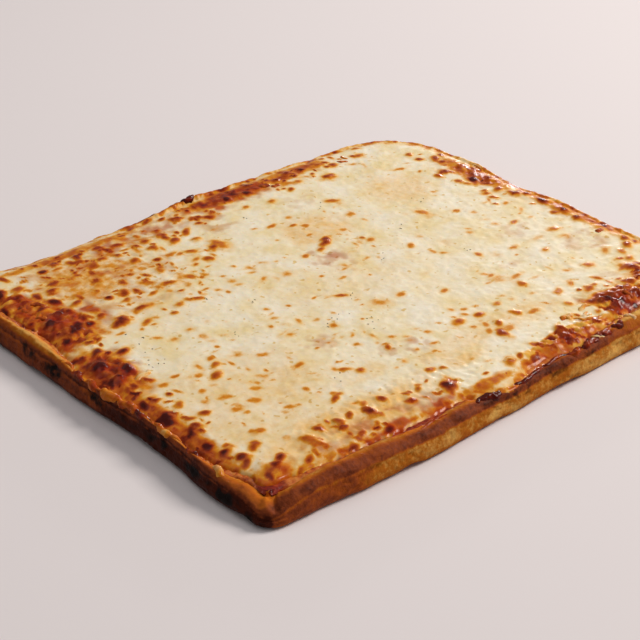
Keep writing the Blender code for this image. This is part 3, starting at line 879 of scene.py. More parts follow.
def melted_cheese(look):
    """Melted mozzarella: smooth, dense and a little translucent, cream where it is thick, yellow where
    oil lies on it, pinkish where the sauce shows through, and browned in blots whose middles are dark,
    tight and glossy. The blots' edges break up at 2 to 6 mm. A slightly darker tint is painted shade
    between the melted shreds, and the oil and sauce tints over the near left are partly painted shade."""
    material, add = new_material("melted_mozzarella")
    place = add("TexCoord")
    brown, thin, oil = (
        add("Attribute", settings={"attribute_name": label}) for label in ("brown", "thin", "oil")
    )
    fine, middle, wide, curds, flecks = (
        add("TexNoise", {"Vector": place, "Scale": scale, "Detail": detail, "Roughness": 0.6})
        for scale, detail in ((560, 3), (200, 3), (46, 4), (120, 5), (180, 1))
    )
    strong = add("MapRange", {"Value": brown, "From Min": 0.02, "From Max": 0.30}, SOFT_ENDS)
    strong = add("Math", {0: strong, 1: 0.75, 2: 0.25}, SCALED)
    ragged = add("Math", {0: fine, 1: 0.16, 2: -0.26}, SCALED)
    ragged = add("Math", {0: middle, 1: 0.36, 2: ragged}, SCALED)
    ragged = add("Math", {0: ragged, 1: strong}, {"operation": "MULTIPLY"})
    browning = add("Math", {0: brown, 1: ragged})
    thinness = add("Math", {0: thin, 1: ragged})
    pooled = add("Math", {0: middle, 1: 0.5, 2: -0.25}, SCALED)
    pooled = add("Math", {0: oil, 1: pooled})

    crease_shade_amount, oily, flecked, saucy, toasted = (
        add("MapRange", {"Value": value, "From Min": low, "From Max": high, "To Max": top}, SOFT_ENDS)
        for value, low, high, top in (
            (curds, 0.50, 0.74, 0.4),
            (pooled, 0.05, 0.95, 1.0),
            (flecks, 0.65, 0.74, 0.75),
            (thinness, 0.15, 0.80, 1.0),
            (browning, 0.05, 0.33, 1.0),
        )
    )
    cream, seen, toast = (
        add("ValToRGB", {"Fac": value}, stops=stops)
        for value, stops in (
            (wide, ((0.34, look.shade), (0.50, look.cream), (0.68, look.light))),
            (
                thinness,
                ((0.12, look.white), (0.40, look.veil), (0.72, look.through), (1.0, look.bare)),
            ),
            (
                browning,
                (
                    (0.12, look.straw),
                    (0.32, look.orange),
                    (0.48, look.tawny),
                    (0.63, look.rust),
                    (0.80, look.umber),
                    (0.97, look.burnt),
                ),
            ),
        )
    )
    coloured = cream
    # The first tint is painted shade between the melted shreds.
    for amount, shade in (
        (crease_shade_amount, (*look.painted_crease_shade, 1.0)),
        (1.0, seen),
        (oily, (*look.oil, 1.0)),
        (flecked, (*look.fleck, 1.0)),
    ):
        coloured = add("Mix", {"Factor": amount, 6: coloured, 7: shade}, TINT)
    ruddy = add("Mix", {"Factor": saucy, 6: toast, 7: (*look.ruddy, 1.0)}, TINT)
    coloured = add("Mix", {"Factor": toasted, 6: coloured, 7: ruddy}, COVER)
    greasy = add("Math", {0: thin, 1: 0.8, 2: browning}, SCALED)
    roughness = add(
        "MapRange",
        {"Value": greasy, "From Min": 0.1, "From Max": 1.0, "To Min": 0.46, "To Max": 0.24},
    )
    small = add("Bump", {"Height": fine, "Strength": 0.20, "Distance": 0.0004})
    relief = add("Bump", {"Height": curds, "Strength": 0.28, "Distance": 0.0016, "Normal": small})
    shader = add(
        "BsdfPrincipled",
        {
            "Base Color": coloured,
            "Roughness": roughness,
            "IOR": 1.46,
            "Specular IOR Level": 0.11,
            "Subsurface Weight": 0.10,
            "Subsurface Radius": (1.0, 0.5, 0.25),
            "Subsurface Scale": 0.0015,
            "Coat Weight": 0.12,
            "Coat Roughness": 0.18,
            "Normal": relief,
        },
    )
    add("OutputMaterial", {"Surface": shader})
    return material


def cooked_tomato(look):
    """Baked tomato sauce: a wet red pulp with darker skins and an oily gloss, grained at 2 to 4 mm."""
    material, add = new_material("cooked_tomato_sauce")
    place = add("TexCoord")
    wet = add("Attribute", settings={"attribute_name": "wet"})
    pulp = add("TexNoise", {"Vector": place, "Scale": 260, "Detail": 4, "Roughness": 0.6})
    red, skin = (
        add("ValToRGB", {"Fac": pulp}, stops=stops)
        for stops in (
            ((0.30, look.deep), (0.50, look.red), (0.70, look.orange)),
            ((0.30, look.red), (0.46, look.skin), (0.70, look.gold)),
        )
    )
    wetness = add("Math", {0: pulp, 1: 0.8, 2: -0.4}, {**SCALED, "use_clamp": True})
    wetness = add("Math", {0: wet, 1: wetness}, {"use_clamp": True})
    coloured = add("Mix", {"Factor": wetness, 6: skin, 7: red}, COVER)
    relief = add("Bump", {"Height": pulp, "Strength": 0.7, "Distance": 0.0012})
    shader = add(
        "BsdfPrincipled",
        {
            "Base Color": coloured,
            "Roughness": 0.34,
            "IOR": 1.36,
            "Specular IOR Level": 0.25,
            "Coat Weight": 0.30,
            "Coat Roughness": 0.08,
            "Subsurface Weight": 0.1,
            "Subsurface Radius": (1.0, 0.25, 0.1),
            "Subsurface Scale": 0.002,
            "Normal": relief,
        },
    )
    add("OutputMaterial", {"Surface": shader})
    return material


def matt_material(name, shade, roughness, specular):
    """A plain matt material of one colour."""
    material, add = new_material(name)
    values = {"Base Color": (*shade, 1.0), "Roughness": roughness, "Specular IOR Level": specular}
    add("OutputMaterial", {"Surface": add("BsdfPrincipled", values)})
    return material


def dried_herb(look):
    """Dried herb leaf: dark olive, matt, too small to show any grain."""
    return matt_material("dried_herb_leaf", look.leaf, 0.7, 0.3)


def backdrop_paper(look):
    """Matt studio backdrop paper: even and pale, with no visible grain at this distance."""
    return matt_material("matt_backdrop_paper", look.paper, 0.95, 0.0)


def colour(code, label, text):
    """A colour property with its default as an sRGB hex value."""
    return bpy.props.FloatVectorProperty(
        name=label, description=text, subtype="COLOR", size=3, min=0, max=1, default=linear(code)[:3]
    )


def size(metres, label, text):
    """A length property with its default in metres."""
    return bpy.props.FloatProperty(
        name=label, description=text, subtype="DISTANCE", unit="LENGTH", default=metres, precision=5
    )


class PIZZA_PG_crust(bpy.types.PropertyGroup):
    """The crust's sizes and colours."""

    spacing: size(0.0013, "Spacing", "Distance between the crust's points")
    rings: bpy.props.IntProperty(name="Rings", description="Points across the section", default=66)
    grain: size(0.0005, "Grain", "Height of the crumb's grain")
    lumps: size(0.0015, "Lumps", "Height of the rim's lumps")
    pale: colour("#D09C50", "Pale", "Least baked crumb")
    golden: colour("#A86016", "Golden", "Wall of the crust")
    brown: colour("#9E4C16", "Brown", "Baked rim")
    dark: colour("#7E3A1C", "Dark", "Browned shoulder")
    # Also the colour of the painted shade low on the left wall.
    darkest_bake_and_shade: colour("#421608", "Darkest", "Over-baked edges")
    grease: colour("#D0701C", "Grease", "Orange oil from the cheese")
    # Also paints shade on the left wall.
    char: colour("#140A07", "Char", "Burnt spots")


class PIZZA_PG_sauce(bpy.types.PropertyGroup):
    """The sauce's sizes and colours."""

    relief: size(0.0009, "Relief", "Height of the pulp")
    deep: colour("#5A1006", "Deep", "Dark skins")
    red: colour("#8A2008", "Red", "Pulp")
    orange: colour("#B84C18", "Orange", "Oily pulp")
    skin: colour("#C46420", "Skin", "Sauce baked to a skin")
    gold: colour("#DA9040", "Gold", "Cheese oil on the skin")


class PIZZA_PG_cheese(bpy.types.PropertyGroup):
    """The cheese's sizes and colours."""

    spacing: size(0.00128, "Spacing", "Distance between the cheese's points")
    blister: size(0.0012, "Blister", "Rise of a dark blister 10 mm wide")
    highest: size(0.0199, "Highest", "Level that no blister rises above")
    waves: size(0.0006, "Waves", "Height of the slow waves")
    ripple: size(0.0004, "Ripple", "Height of the melted shreds")
    small_spots: bpy.props.IntProperty(name="Spots", description="Small browned spots", default=480)
    specks: bpy.props.IntProperty(name="Specks", description="Amber specks", default=270)
    streaks: bpy.props.IntProperty(name="Streaks", description="Amber streaks", default=70)
    light: colour("#EFE4CE", "Light", "Thickest cheese")
    cream: colour("#ECDCBA", "Cream", "Melted cheese")
    shade: colour("#E7D09C", "Shade", "Thinner cheese")
    # Painted shade: a slightly darker tint between the melted shreds.
    painted_crease_shade: colour("#F1E9DA", "Curd", "Tint of the hollows between shreds")
    white: colour("#FFFFFF", "Clear", "Tint where no sauce shows through")
    veil: colour("#E6CFC2", "Veil", "Tint where a little sauce shows through")
    through: colour("#C46A44", "Through", "Tint where much sauce shows through")
    bare: colour("#963416", "Bare", "Tint of bare sauce")
    oil: colour("#F8C864", "Oil", "Tint of the oil")
    fleck: colour("#E4C46E", "Fleck", "Tint of the small flecks of oil")
    straw: colour("#E0A02C", "Straw", "Edge of a browned spot")
    orange: colour("#D28414", "Orange", "Lightly browned")
    tawny: colour("#BC600E", "Tawny", "Turning brown")
    rust: colour("#A44406", "Rust", "Browned")
    umber: colour("#7E2602", "Umber", "Dark blister")
    burnt: colour("#4C0E02", "Burnt", "Darkest blister")
    ruddy: colour("#E4A492", "Ruddy", "Tint of browned cheese mixed with sauce")


class PIZZA_PG_shreds(bpy.types.PropertyGroup):
    """The loose shreds' sizes."""

    count: bpy.props.IntProperty(name="Count", description="Number of shreds", default=96)
    thickness: size(0.00165, "Thickness", "Radius of a middling shred")
    lift: size(0.0007, "Lift", "How far a shred's middle arches up")
    lowest: size(0.0150, "Lowest", "Level of the surface that a shred may lie on")
    highest: size(0.0195, "Highest", "Level that no shred rises above")


class PIZZA_PG_herbs(bpy.types.PropertyGroup):
    """The herb flecks' size and colour."""

    length: size(0.0014, "Length", "Length of a middling fleck")
    leaf: colour("#39300F", "Leaf", "Dried herb")


class PIZZA_PG_stage(bpy.types.PropertyGroup):
    """The studio's sizes, colour and light."""

    floor: size(9.0, "Floor", "Side of the floor")
    paper: colour("#E4DCDC", "Paper", "Backdrop paper")
    key: bpy.props.FloatProperty(name="Key", description="Power of the key light", default=88.0)
    top: bpy.props.FloatProperty(name="Top", description="Power of the overhead light", default=6.5)
    glint: bpy.props.FloatProperty(name="Glint", description="Power of the glint light", default=9.0)
    fill: bpy.props.FloatProperty(name="Fill", description="Strength of the soft fill", default=0.28)


def crust_shape(settings):
    """The crust as a grid of rings. The section's curve is read finely, its inset and height become
    rings round the outline, and every point then moves along its normal by layered noise: broad lumps
    on the rim, grain and small pits on the wall. Returns the grid and its browning by the section."""
    walk = Walk(settings.spacing)
    foot, wall, inside = 12, 20, 6
    crest = settings.rings - foot - wall - inside
    places = np.concatenate(
        [
            np.linspace(0.0, 2.0, foot, endpoint=False),
            np.linspace(2.0, 4.0, wall, endpoint=False),
            np.linspace(4.0, 8.0, crest, endpoint=False),
            np.linspace(8.0, 9.0, inside),
        ]
    )
    section = smooth_rows(CRUST_SECTION, places)
    inset = section[:, 0:1] + section[:, 1:2] * walk.width
    height = section[:, 2:3] + section[:, 3:4] * walk.height
    level = flat_points(*walk.outline.T)
    lift = 0.0016 * smooth((noise(level, 0.020, 31) - 0.15) / 0.4)
    height = np.maximum(height + lift * (1 - smooth(np.abs(height - 0.0013) / 0.0030)), 0.0)
    height[0] = 0.0
    grid = walk.ring(inset, height)
    normal = outward(grid)
    up = (places / 9.0)[:, None]
    on_crest = smooth((up - 0.36) / 0.16)
    on_wall = smooth(height / 0.004) * (1 - on_crest)
    lumps = settings.lumps * (0.7 * noise(grid, 0.016, 1) + 0.35 * noise(grid, 0.007, 2))
    grain = settings.grain * layered(grid, 0.0034, 2, 3)
    pits = -0.0007 * smooth((noise(grid * np.array([1, 1, 1.6]), 0.0050, 7) - 0.30) / 0.25)
    creases = 0.0006 * noise(grid * np.array([0.35, 0.35, 2.2]), 0.008, 9)
    moved = on_crest * (lumps + grain) + on_wall * (0.4 * lumps + grain + pits + creases)
    grid = grid + normal * moved[..., None]
    along = (grid[..., :2] - PINCH_START) @ PINCH_WAY
    aside = (grid[..., :2] - PINCH_START) @ np.array([-PINCH_WAY[1], PINCH_WAY[0]])
    ridge = smooth(along / 0.004) * smooth((PINCH_LENGTH - along) / 0.006)
    ridge = ridge * np.exp(-((aside / PINCH_WIDTH) ** 2))
    grid[..., 2] += PINCH_HEIGHT * ridge * on_crest
    grid[..., 2] = np.maximum(grid[..., 2], 0.0)
    return walk, grid, np.broadcast_to(section[:, 4:5], height.shape), up, height


class TopMap:
    """The height of a surface at any place in plan: the highest point in each 1 mm square, with gaps
    filled from their neighbours, read by blending four squares."""

    step = 0.001
    low = np.array([-0.215, -0.185])
    counts = (430, 370)
    inner = (0.16, 0.13)

    def __init__(self, points, floor):
        """Fills the map from the points. Holes in the inner part, where the crust's mesh has only one
        large face, get the floor's height."""
        self.map = np.full(self.counts, -1.0)
        flat = points.reshape(-1, 3)
        cell = np.floor((flat[:, :2] - self.low) / self.step).astype(int)
        np.maximum.at(self.map, (cell[:, 0], cell[:, 1]), flat[:, 2])
        for _ in range(3):
            padded = np.pad(self.map, 1, constant_values=-1.0)
            near = [
                padded[a : a + self.counts[0], b : b + self.counts[1]]
                for a in range(3)
                for b in range(3)
            ]
            self.map = np.where(self.map < 0, np.max(near, axis=0), self.map)
        x = self.low[0] + self.step * np.arange(self.counts[0])[:, None]
        y = self.low[1] + self.step * np.arange(self.counts[1])[None, :]
        inner = (np.abs(x) < self.inner[0]) & (np.abs(y) < self.inner[1])
        self.map = np.where((self.map < 0) & inner, floor, self.map)
        self.map = np.maximum(self.map, 0.0)

    def read(self, x, y):
        """The blended height at each place."""
        across = (x - self.low[0]) / self.step - 0.5
        along = (y - self.low[1]) / self.step - 0.5
        a = np.floor(across).astype(int)
        b = np.floor(along).astype(int)
        part_a = across - a
        part_b = along - b
        low = self.map[a, b] * (1 - part_b) + self.map[a, b + 1] * part_b
        high = self.map[a + 1, b] * (1 - part_b) + self.map[a + 1, b + 1] * part_b
        return low * (1 - part_a) + high * part_a


def char_and_shade_amount(grid):
    """How charred each point is, and on the left wall how much painted shade it gets: the strongest of
    the table's bells in X, Y and height, where the distance is the root of the sum of the squares,
    broken up by noise."""
    amount = np.zeros(grid.shape[:-1])
    for row in CHAR_AND_SHADE_MM:
        level, reach, strength = row[4] * MM, row[5] * MM, row[6]
        above = (grid[..., 2] - level) / reach
        far = np.hypot(far_from(grid[..., 0], grid[..., 1], row), above)
        amount = np.maximum(amount, strength * (1 - smooth(far - 0.35)))
    return amount * smooth(0.75 + 1.2 * noise(grid, 0.006, 15))


def crust_bake_and_shade(walk, grid, bake, up, height):
    """How browned and how greasy each point of the crust is, with painted shade added to the browning.
    A ragged brown band runs over the shoulder between the pale foot and the rim's inner side; broad
    noise and the places named above add to it or take from it, and the left wall below the crest gets
    painted shade, more towards the front. Grease lies on the rim's inner side, in patches."""
    x, y = grid[..., 0], grid[..., 1]
    on_wall = smooth(height / 0.004)
    ragged = bake + 0.13 * layered(grid, 0.0075, 2, 17)
    band = smooth((ragged - 0.40) / 0.20) * smooth((0.78 - up) / 0.18)
    bake = np.where(height > 0.004, 0.20 + 0.54 * band + 0.06 * bake, bake)
    bake = bake - 0.16 * smooth((0.36 - up) / 0.1) * smooth(0.2 + 1.6 * noise(grid, 0.016, 18))
    # The wall at the near corner is darkened, partly as painted shade.
    dark = 1 - smooth(far_from(x, y, DARK_CORNER_MM) - 0.5)
    bake = bake + 0.50 * dark * on_wall * smooth((0.44 - up) / 0.1)
    right = far_from(x, y, PALE_RIM_MM)
    bake = bake - 0.50 * (1 - smooth(right - 0.3)) * smooth((up - 0.40) / 0.1)
    # Painted shade: the left wall below the crest is darkened, more towards the front.
    west = smooth((-walk.normal[:, 0] - 0.5) / 0.4)
    painted_left_shade = west * (0.60 + 0.42 * smooth((0.010 - y) / 0.060))
    bake = bake + 0.16 * layered(grid, 0.030, 2, 12) + painted_left_shade * smooth((0.5 - up) / 0.2)
    hump = 1 - smooth(far_from(x, y, PALE_HUMP_MM) - 0.4)
    bake = bake - 0.50 * hump * smooth((up - 0.48) / 0.10)
    grease = smooth((up - 0.66) / 0.14) * smooth(0.55 + 0.8 * noise(grid, 0.012, 14))
    fold = 1 - smooth(far_from(x, y, OILED_FOLD_MM) - 0.4)
    fold = fold * smooth((up - 0.50) / 0.12) * smooth((y - x - 0.030) / 0.008)
    smeared = fold * (0.46 + 0.50 * layered(grid, 0.0070, 2, 19))
    return bake, 0.8 * np.maximum(grease * smooth(right - 0.1), smeared)


class PIZZA_OT_crust(bpy.types.Operator):
    """Makes the pan-baked crust."""

    bl_idname = "pizza.crust"
    bl_label = "Crust"

    def execute(self, context):
        look = context.scene.pizza_crust
        walk, grid, section, up, height = crust_shape(look)
        bake, grease = crust_bake_and_shade(walk, grid, section, up, height)
        mesh_piece(
            "pan_crust",
            grid.reshape(-1, 3),
            ring_faces(*grid.shape[:2]),
            ("crust",),
            {"bake": bake, "grease": grease, "char": char_and_shade_amount(grid)},
            baked_dough(look),
        )
        return {"FINISHED"}


class PIZZA_OT_sauce(bpy.types.Operator):
    """Makes the sauce, which shows between the rim and the cheese."""

    bl_idname = "pizza.sauce"
    bl_label = "Sauce"

    def execute(self, context):
        look = context.scene.pizza_sauce
        walk, grid = crust_shape(context.scene.pizza_crust)[:2]
        below = TopMap(grid, TRAY_FLOOR)
        level = flat_points(*walk.outline.T)
        # Rings run inwards from a smeared edge on the rim's inner side to well under the cheese. A point
        # is as high as the bed plus the pulp's noise, or just over the crust where that is higher.
        smear = walk.width * (0.94 - 0.22 * np.abs(noise(level, 0.010, 21)))
        smear = smear + 0.8 * np.maximum(-walk.hang, 0.0)
        places = np.linspace(0.0, 1.0, 14)[:, None]
        angle = np.arctan2(walk.outline[:, 1], walk.outline[:, 0])
        under_cheese = 0.012
        far = reach_at(walk, smear, angle) - places * (walk.margin + under_cheese)
        plan = flat_points(far * np.cos(angle), far * np.sin(angle))
        crust_top = below.read(plan[..., 0], plan[..., 1])
        bed = SAUCE_TOP + 0.0012 * smooth(walk.margin / 0.004) * smooth((0.8 - places) / 0.5)
        pulp = look.relief * layered(plan, 0.0060, 2, 22)
        plan[..., 2] = np.maximum(crust_top + 0.0002, bed + pulp)
        plan[0, :, 2] = crust_top[0] - 0.0006
        edge = plan[:1].copy()
        edge[..., 2] = TRAY_FLOOR + 0.0003
        whole = np.concatenate([edge, plan])
        mesh_piece(
            "tomato_sauce",
            whole.reshape(-1, 3),
            ring_faces(*whole.shape[:2]),
            ("sauce",),
            {"wet": stretches(whole[..., 0], whole[..., 1], WET_STRETCHES_MM, 23)},
            cooked_tomato(look),
        )
        return {"FINISHED"}


def reach_at(walk, inset, angle):
    """The distance from the middle at each angle to the outline moved inwards by the insets, evened
    over about 2 degrees, so that the line through them never folds."""
    ring = walk.ring(np.maximum(inset, 0.0008), np.zeros(len(inset)))
    found = np.arctan2(ring[:, 1], ring[:, 0])
    parts = 720
    bins = np.floor((found + math.pi) / (2 * math.pi) * parts).astype(int) % parts
    total = np.bincount(bins, np.hypot(ring[:, 0], ring[:, 1]), parts)
    count = np.bincount(bins, minlength=parts)
    centres = (np.arange(parts) + 0.5) / parts * 2 * math.pi - math.pi
    full = count > 0
    radii = np.interp(centres, centres[full], total[full] / count[full], period=2 * math.pi)
    for _ in range(3):
        radii = (np.roll(radii, 1) + radii + np.roll(radii, -1)) / 3
    return np.interp(angle, centres, radii, period=2 * math.pi)


def cheese_edge(walk, angle):
    """The cheese's edge in plan as a distance from the middle for each angle: inside the rim and the
    sauce's margin, pushed out where it hangs over, then scalloped."""
    side_hang = 0.0045 * smooth((walk.normal[:, 0] + walk.normal[:, 1]) / 0.6)
    reach = reach_at(walk, walk.width + walk.margin - walk.hang - side_hang, angle)
    level = flat_points(reach * np.cos(angle), reach * np.sin(angle))
    scallop = 0.0022 * np.abs(noise(level, 0.017, 41)) + 0.0011 * layered(level, 0.0075, 2, 42)
    return reach - scallop


def along_grain(x, y, stretch):
    """Points of the plan turned so that the first axis runs with the melt's grain, and shrunk along
    it by the stretch, so that noise read there is drawn out along the grain."""
    along = x * math.cos(GRAIN_ANGLE) + y * math.sin(GRAIN_ANGLE)
    across = y * math.cos(GRAIN_ANGLE) - x * math.sin(GRAIN_ANGLE)
    return flat_points(along / stretch, across)


def spread(table, count, seed, smallest=0.0016, growth=0.00125, slender=(0.45, 0.90)):
    """Random small spots, taken where a stretch of the table makes them likely: x, y, length, width,
    angle and browning, in metres and radians. Most lie roughly along the melt's grain."""
    draw = np.random.default_rng(seed)
    tries = count * 40
    x = draw.uniform(-0.199, 0.199, tries)
    y = draw.uniform(-0.166, 0.166, tries)
    likely = np.zeros(tries)
    brown = np.zeros(tries)
    for row in table:
        weight, strength = row[4:]
        share = weight * (1 - smooth((far_from(x, y, row) - 0.5) / 0.8))
        brown = np.where(share > likely, strength, brown)
        likely = np.maximum(likely, share)
    clumps = 0.55 + 0.9 * noise(flat_points(x, y), 0.016, 51)
    kept = np.nonzero(draw.uniform(0, 1.3, tries) < likely * clumps)[0][:count]
    length = draw.gamma(4.0, growth, len(kept)) + smallest
    width = length * draw.uniform(*slender, len(kept))
    turned = draw.normal(GRAIN_ANGLE, 0.75, len(kept))
    shade = brown[kept] + draw.normal(0, 0.12, len(kept))
    return np.stack([x[kept], y[kept], length, width, turned, shade], axis=-1)


def spots_on(x, y, spots, rise):
    """Browning, oil and rise from the spots at each place. Each spot is an oval whose edge wanders:
    it is evenly browned with a soft edge, oil shows round it, and a dark one domes up, some more
    than others at random."""
    brown = np.zeros_like(x)
    oil = np.zeros_like(x)
    dome = np.zeros_like(x)
    level = flat_points(x, y)
    wander = 0.40 * noise(level, 0.0056, 61) + 0.18 * noise(level, 0.0028, 62)
    fullness = np.random.default_rng(10).uniform(0.40, 1.50, len(spots))
    for (spot_x, spot_y, length, width, turned, shade), full in zip(spots, fullness):
        near = (np.abs(x - spot_x) < 1.5 * length) & (np.abs(y - spot_y) < 1.5 * length)
        dx = x[near] - spot_x
        dy = y[near] - spot_y
        along = (dx * math.cos(turned) + dy * math.sin(turned)) / (0.5 * length)
        across = (dy * math.cos(turned) - dx * math.sin(turned)) / (0.5 * width)
        plain = np.hypot(along, across)
        far = plain + wander[near]
        core = shade * (0.74 * (1 - smooth((far - 0.28) / 0.90)) + 0.26 * (1 - smooth(far / 0.7)))
        halo = min(0.20 + 0.8 * shade, 0.75) * (1 - smooth((far - 0.7) / 1.1))
        domed = rise * full * smooth((shade - 0.30) / 0.40) * (width / 0.010) ** 0.9
        brown[near] = np.maximum(brown[near], core)
        oil[near] = np.maximum(oil[near], halo)
        dome[near] = np.maximum(dome[near], domed * (1 - smooth((plain - 0.05) / 1.15)))
    return brown, oil, dome


def cheese_plan(walk, spacing):
    """The cheese's grid in plan. Two parameters from −1 to 1 make a square, whose rings are shares of
    the reach: a point lies at its ring's share of the edge's distance along the point's own angle.
    The last rings lie closer, so that the edge is round. Returns X, Y, the share and how far in from
    the edge the point is."""
    steps = []
    for side in (LENGTH, WIDTH):
        plain = np.linspace(-0.972, 0.972, round(0.972 * side / spacing))
        fine = np.array([0.978, 0.983, 0.988, 0.992, 0.996, 1.0])
        steps.append(np.concatenate([-fine[::-1], plain, fine]))
    u, v = np.meshgrid(*steps, indexing="ij")
    share = np.maximum(np.maximum(np.abs(u), np.abs(v)), 1e-9)
    angle = np.arctan2(v * WIDTH, u * LENGTH)
    reach = cheese_edge(walk, angle)
    return share * reach * np.cos(angle), share * reach * np.sin(angle), share, (1 - share) * reach


def cheese_spots(look):
    """All the spots on the cheese: those of the table, the lighter ones taken down a little, and the
    scattered small spots, specks and streaks. x, y, length, width, angle and browning."""
    large = np.array(SPOTS_MM, float)
    large[:, :4] *= MM
    large[:, 4] = np.radians(large[:, 4])
    large[:, 5] = 0.95 * large[:, 5] - 0.14 * (1 - smooth(2 * large[:, 5] - 1))
    return np.concatenate(
        [
            large,
            spread(BROWN_STRETCHES_MM, look.small_spots, 7, 0.0018, 0.0016, (0.36, 0.85)),
            spread(AMBER_STRETCHES_MM, look.specks, 8, 0.0020, 0.0011),
            spread(AMBER_STRETCHES_MM, look.streaks, 9, 0.0050, 0.0014, (0.20, 0.36)),
        ]
    )


def cheese_baking(x, y, from_edge, look):
    """How browned, thin and oily the cheese is at each place, and what its relief takes from that: the
    rise of the blisters, the height of the lumps, their ridges and where the sauce is bare. Each is
    the strongest of its causes: spots, crowded stretches, the baked rim, toasted stretches and lumpy
    ones, each broken up by noise that is drawn out along the grain or curled into ridges. The thin
    and oily tints also paint shade over the near left."""
    level = flat_points(x, y)
    drawn = along_grain(x, y, 1.9)
    brown, oil, dome = spots_on(x, y, cheese_spots(look), look.blister)

    crowd = stretches(x, y, [row[:4] + (row[4] * 0.44,) for row in BROWN_STRETCHES_MM], 63)
    patch = smooth(0.42 + 1.0 * layered(drawn, 0.0085, 3, 64))
    lace = smooth(1 - 3.2 * np.abs(noise(drawn, 0.0088, 85)))
    mottle = crowd * (0.26 * patch + 0.42 * lace * smooth(0.5 + layered(level, 0.020, 2, 86)))
    brown = np.maximum(brown, mottle + 0.30 * brown)
    brown = brown * (1 + 0.22 * noise(drawn, 0.0048, 94))
    oil = np.maximum(oil, 1.2 * crowd * smooth(0.6 + 0.8 * layered(level, 0.016, 2, 78)))
    thin = stretches(x, y, THIN_AND_SHADE_STRETCHES_MM, 65)
    thin = thin * smooth(0.55 + 0.9 * layered(level, 0.009, 2, 66))
    thin = np.maximum(thin, 0.9 * crowd * smooth(0.36 + 1.0 * layered(drawn, 0.0080, 2, 91)))
    oil = np.maximum(0.85 * oil, stretches(x, y, OIL_AND_SHADE_STRETCHES_MM, 67))
    oil = np.maximum(oil, 0.7 * (1 - smooth(from_edge / 0.016)))

    ridges = 1 - 2.3 * np.abs(noise(level, 0.0062, 87) + 0.25 * noise(level, 0.0030, 88))
    valley = smooth(0.35 - 0.7 * ridges)
    rim = 1 - smooth((from_edge + 0.005 * noise(level, 0.012, 69) - 0.002) / 0.012)
    toasted = rim * (0.20 + 0.84 * layered(level, 0.0085, 2, 70) + 0.18 * valley)
    brown = np.maximum(brown, toasted)
    baked = stretches(x, y, TOAST_STRETCHES_MM, 79)
    brown = np.maximum(brown, baked * (0.80 + 0.55 * layered(level, 0.0072, 2, 84)))
    brown = brown + 0.35 * baked * smooth(brown / 0.5)
    oil = np.maximum(oil, 2.0 * baked)

    lumpy = stretches(x, y, LUMPY_STRETCHES_MM, 68) * MM
    gratin = np.maximum(smooth((lumpy / HIGH_LUMPS - 0.40) / 0.24), 0.62 * rim)
    thin = np.maximum(thin, gratin * (0.24 + 0.66 * valley + 0.40 * noise(level, 0.013, 90)))
    islands = smooth((noise(level, 0.0085, 92) + 0.4 * noise(level, 0.0040, 95) + 0.02) / 0.22)
    brown = np.maximum(brown, gratin * (0.14 + 0.58 * islands + 0.14 * valley))
    oil = np.maximum(oil, gratin)
    lumpy = np.maximum(np.maximum(lumpy, 0.0014 * crowd * patch), 0.0013 * rim)

    bare = stretches(x, y, BARE_STRETCHES_MM, 89)
    bare = bare * smooth(0.62 + 1.1 * layered(drawn, 0.0060, 2, 93))
    brown = brown * (1 - 0.9 * bare)
    values = {"brown": brown, "thin": np.maximum(thin, bare), "oil": oil}
    return values, dome, lumpy, ridges, bare


def cheese_height(plan, look, crust_top, dome, lumpy, ridges, bare):
    """The cheese's height at each place. The sheet is a level top with slow waves, melted shreds,
    blisters and lumps, rounded down at its edge; the film is the crust's top plus a little. The cheese
    is the higher of the two, joined softly by half of a + b + the root of (a − b)² + s²."""
    x, y, share, from_edge = plan
    level = flat_points(x, y)
    waves = look.waves * (noise(level, 0.034, 71) + 0.5 * noise(level, 0.016, 72))
    strands = 1 - np.abs(noise(level * np.array([1.0, 1.6, 1.0]), 0.0085, 73)) * 2.4
    ripple = look.ripple * (0.6 * np.maximum(strands, 0.0) + 0.5 * layered(level, 0.0045, 2, 74))
    crags = 0.50 * noise(level, 0.0070, 75) + 0.52 * ridges + 0.24 * noise(level, 0.0034, 76)
    top = CHEESE_TOP + waves + ripple + dome + lumpy * crags - 0.0009 * bare
    taper = CHEESE_BASE + 0.0016 + 0.0008 * noise(level, 0.009, 77)
    top = top + (taper - top) * smooth((share - 0.93) / 0.07)
    low = CHEESE_BASE - 0.0010
    sheet = low + (top - low) * np.sqrt(smooth(from_edge / 0.0034))
    film = crust_top + 0.0002 + 0.0010 * smooth(from_edge / 0.004) + 0.35 * (ripple + dome)
    z = held_below(0.5 * (sheet + film + np.hypot(sheet - film, SOFT_JOIN)), look.highest)
    z = np.where(share > 0.9999, np.minimum(z, crust_top - 0.0005), z)
    return np.maximum(z, 0.0100)


def sheet_faces(rows, columns):
    """The faces of a closed sheet: four-sided ones over its grid, walls down from its border to a
    second ring of points that follow the grid's own, and one flat face below. Returns the faces and
    the border's points, anticlockwise."""
    number = np.arange(rows * columns).reshape(rows, columns)
    quads = np.stack([number[:-1, :-1], number[1:, :-1], number[1:, 1:], number[:-1, 1:]], axis=-1)
    border = np.concatenate([number[:-1, 0], number[-1, :-1], number[:0:-1, -1], number[0, :0:-1]])
    base = rows * columns + np.arange(len(border))
    walls = np.stack([base, np.roll(base, -1), np.roll(border, -1), border], axis=-1)
    return quads.reshape(-1, 4).tolist() + walls.tolist() + [base[::-1].tolist()], border


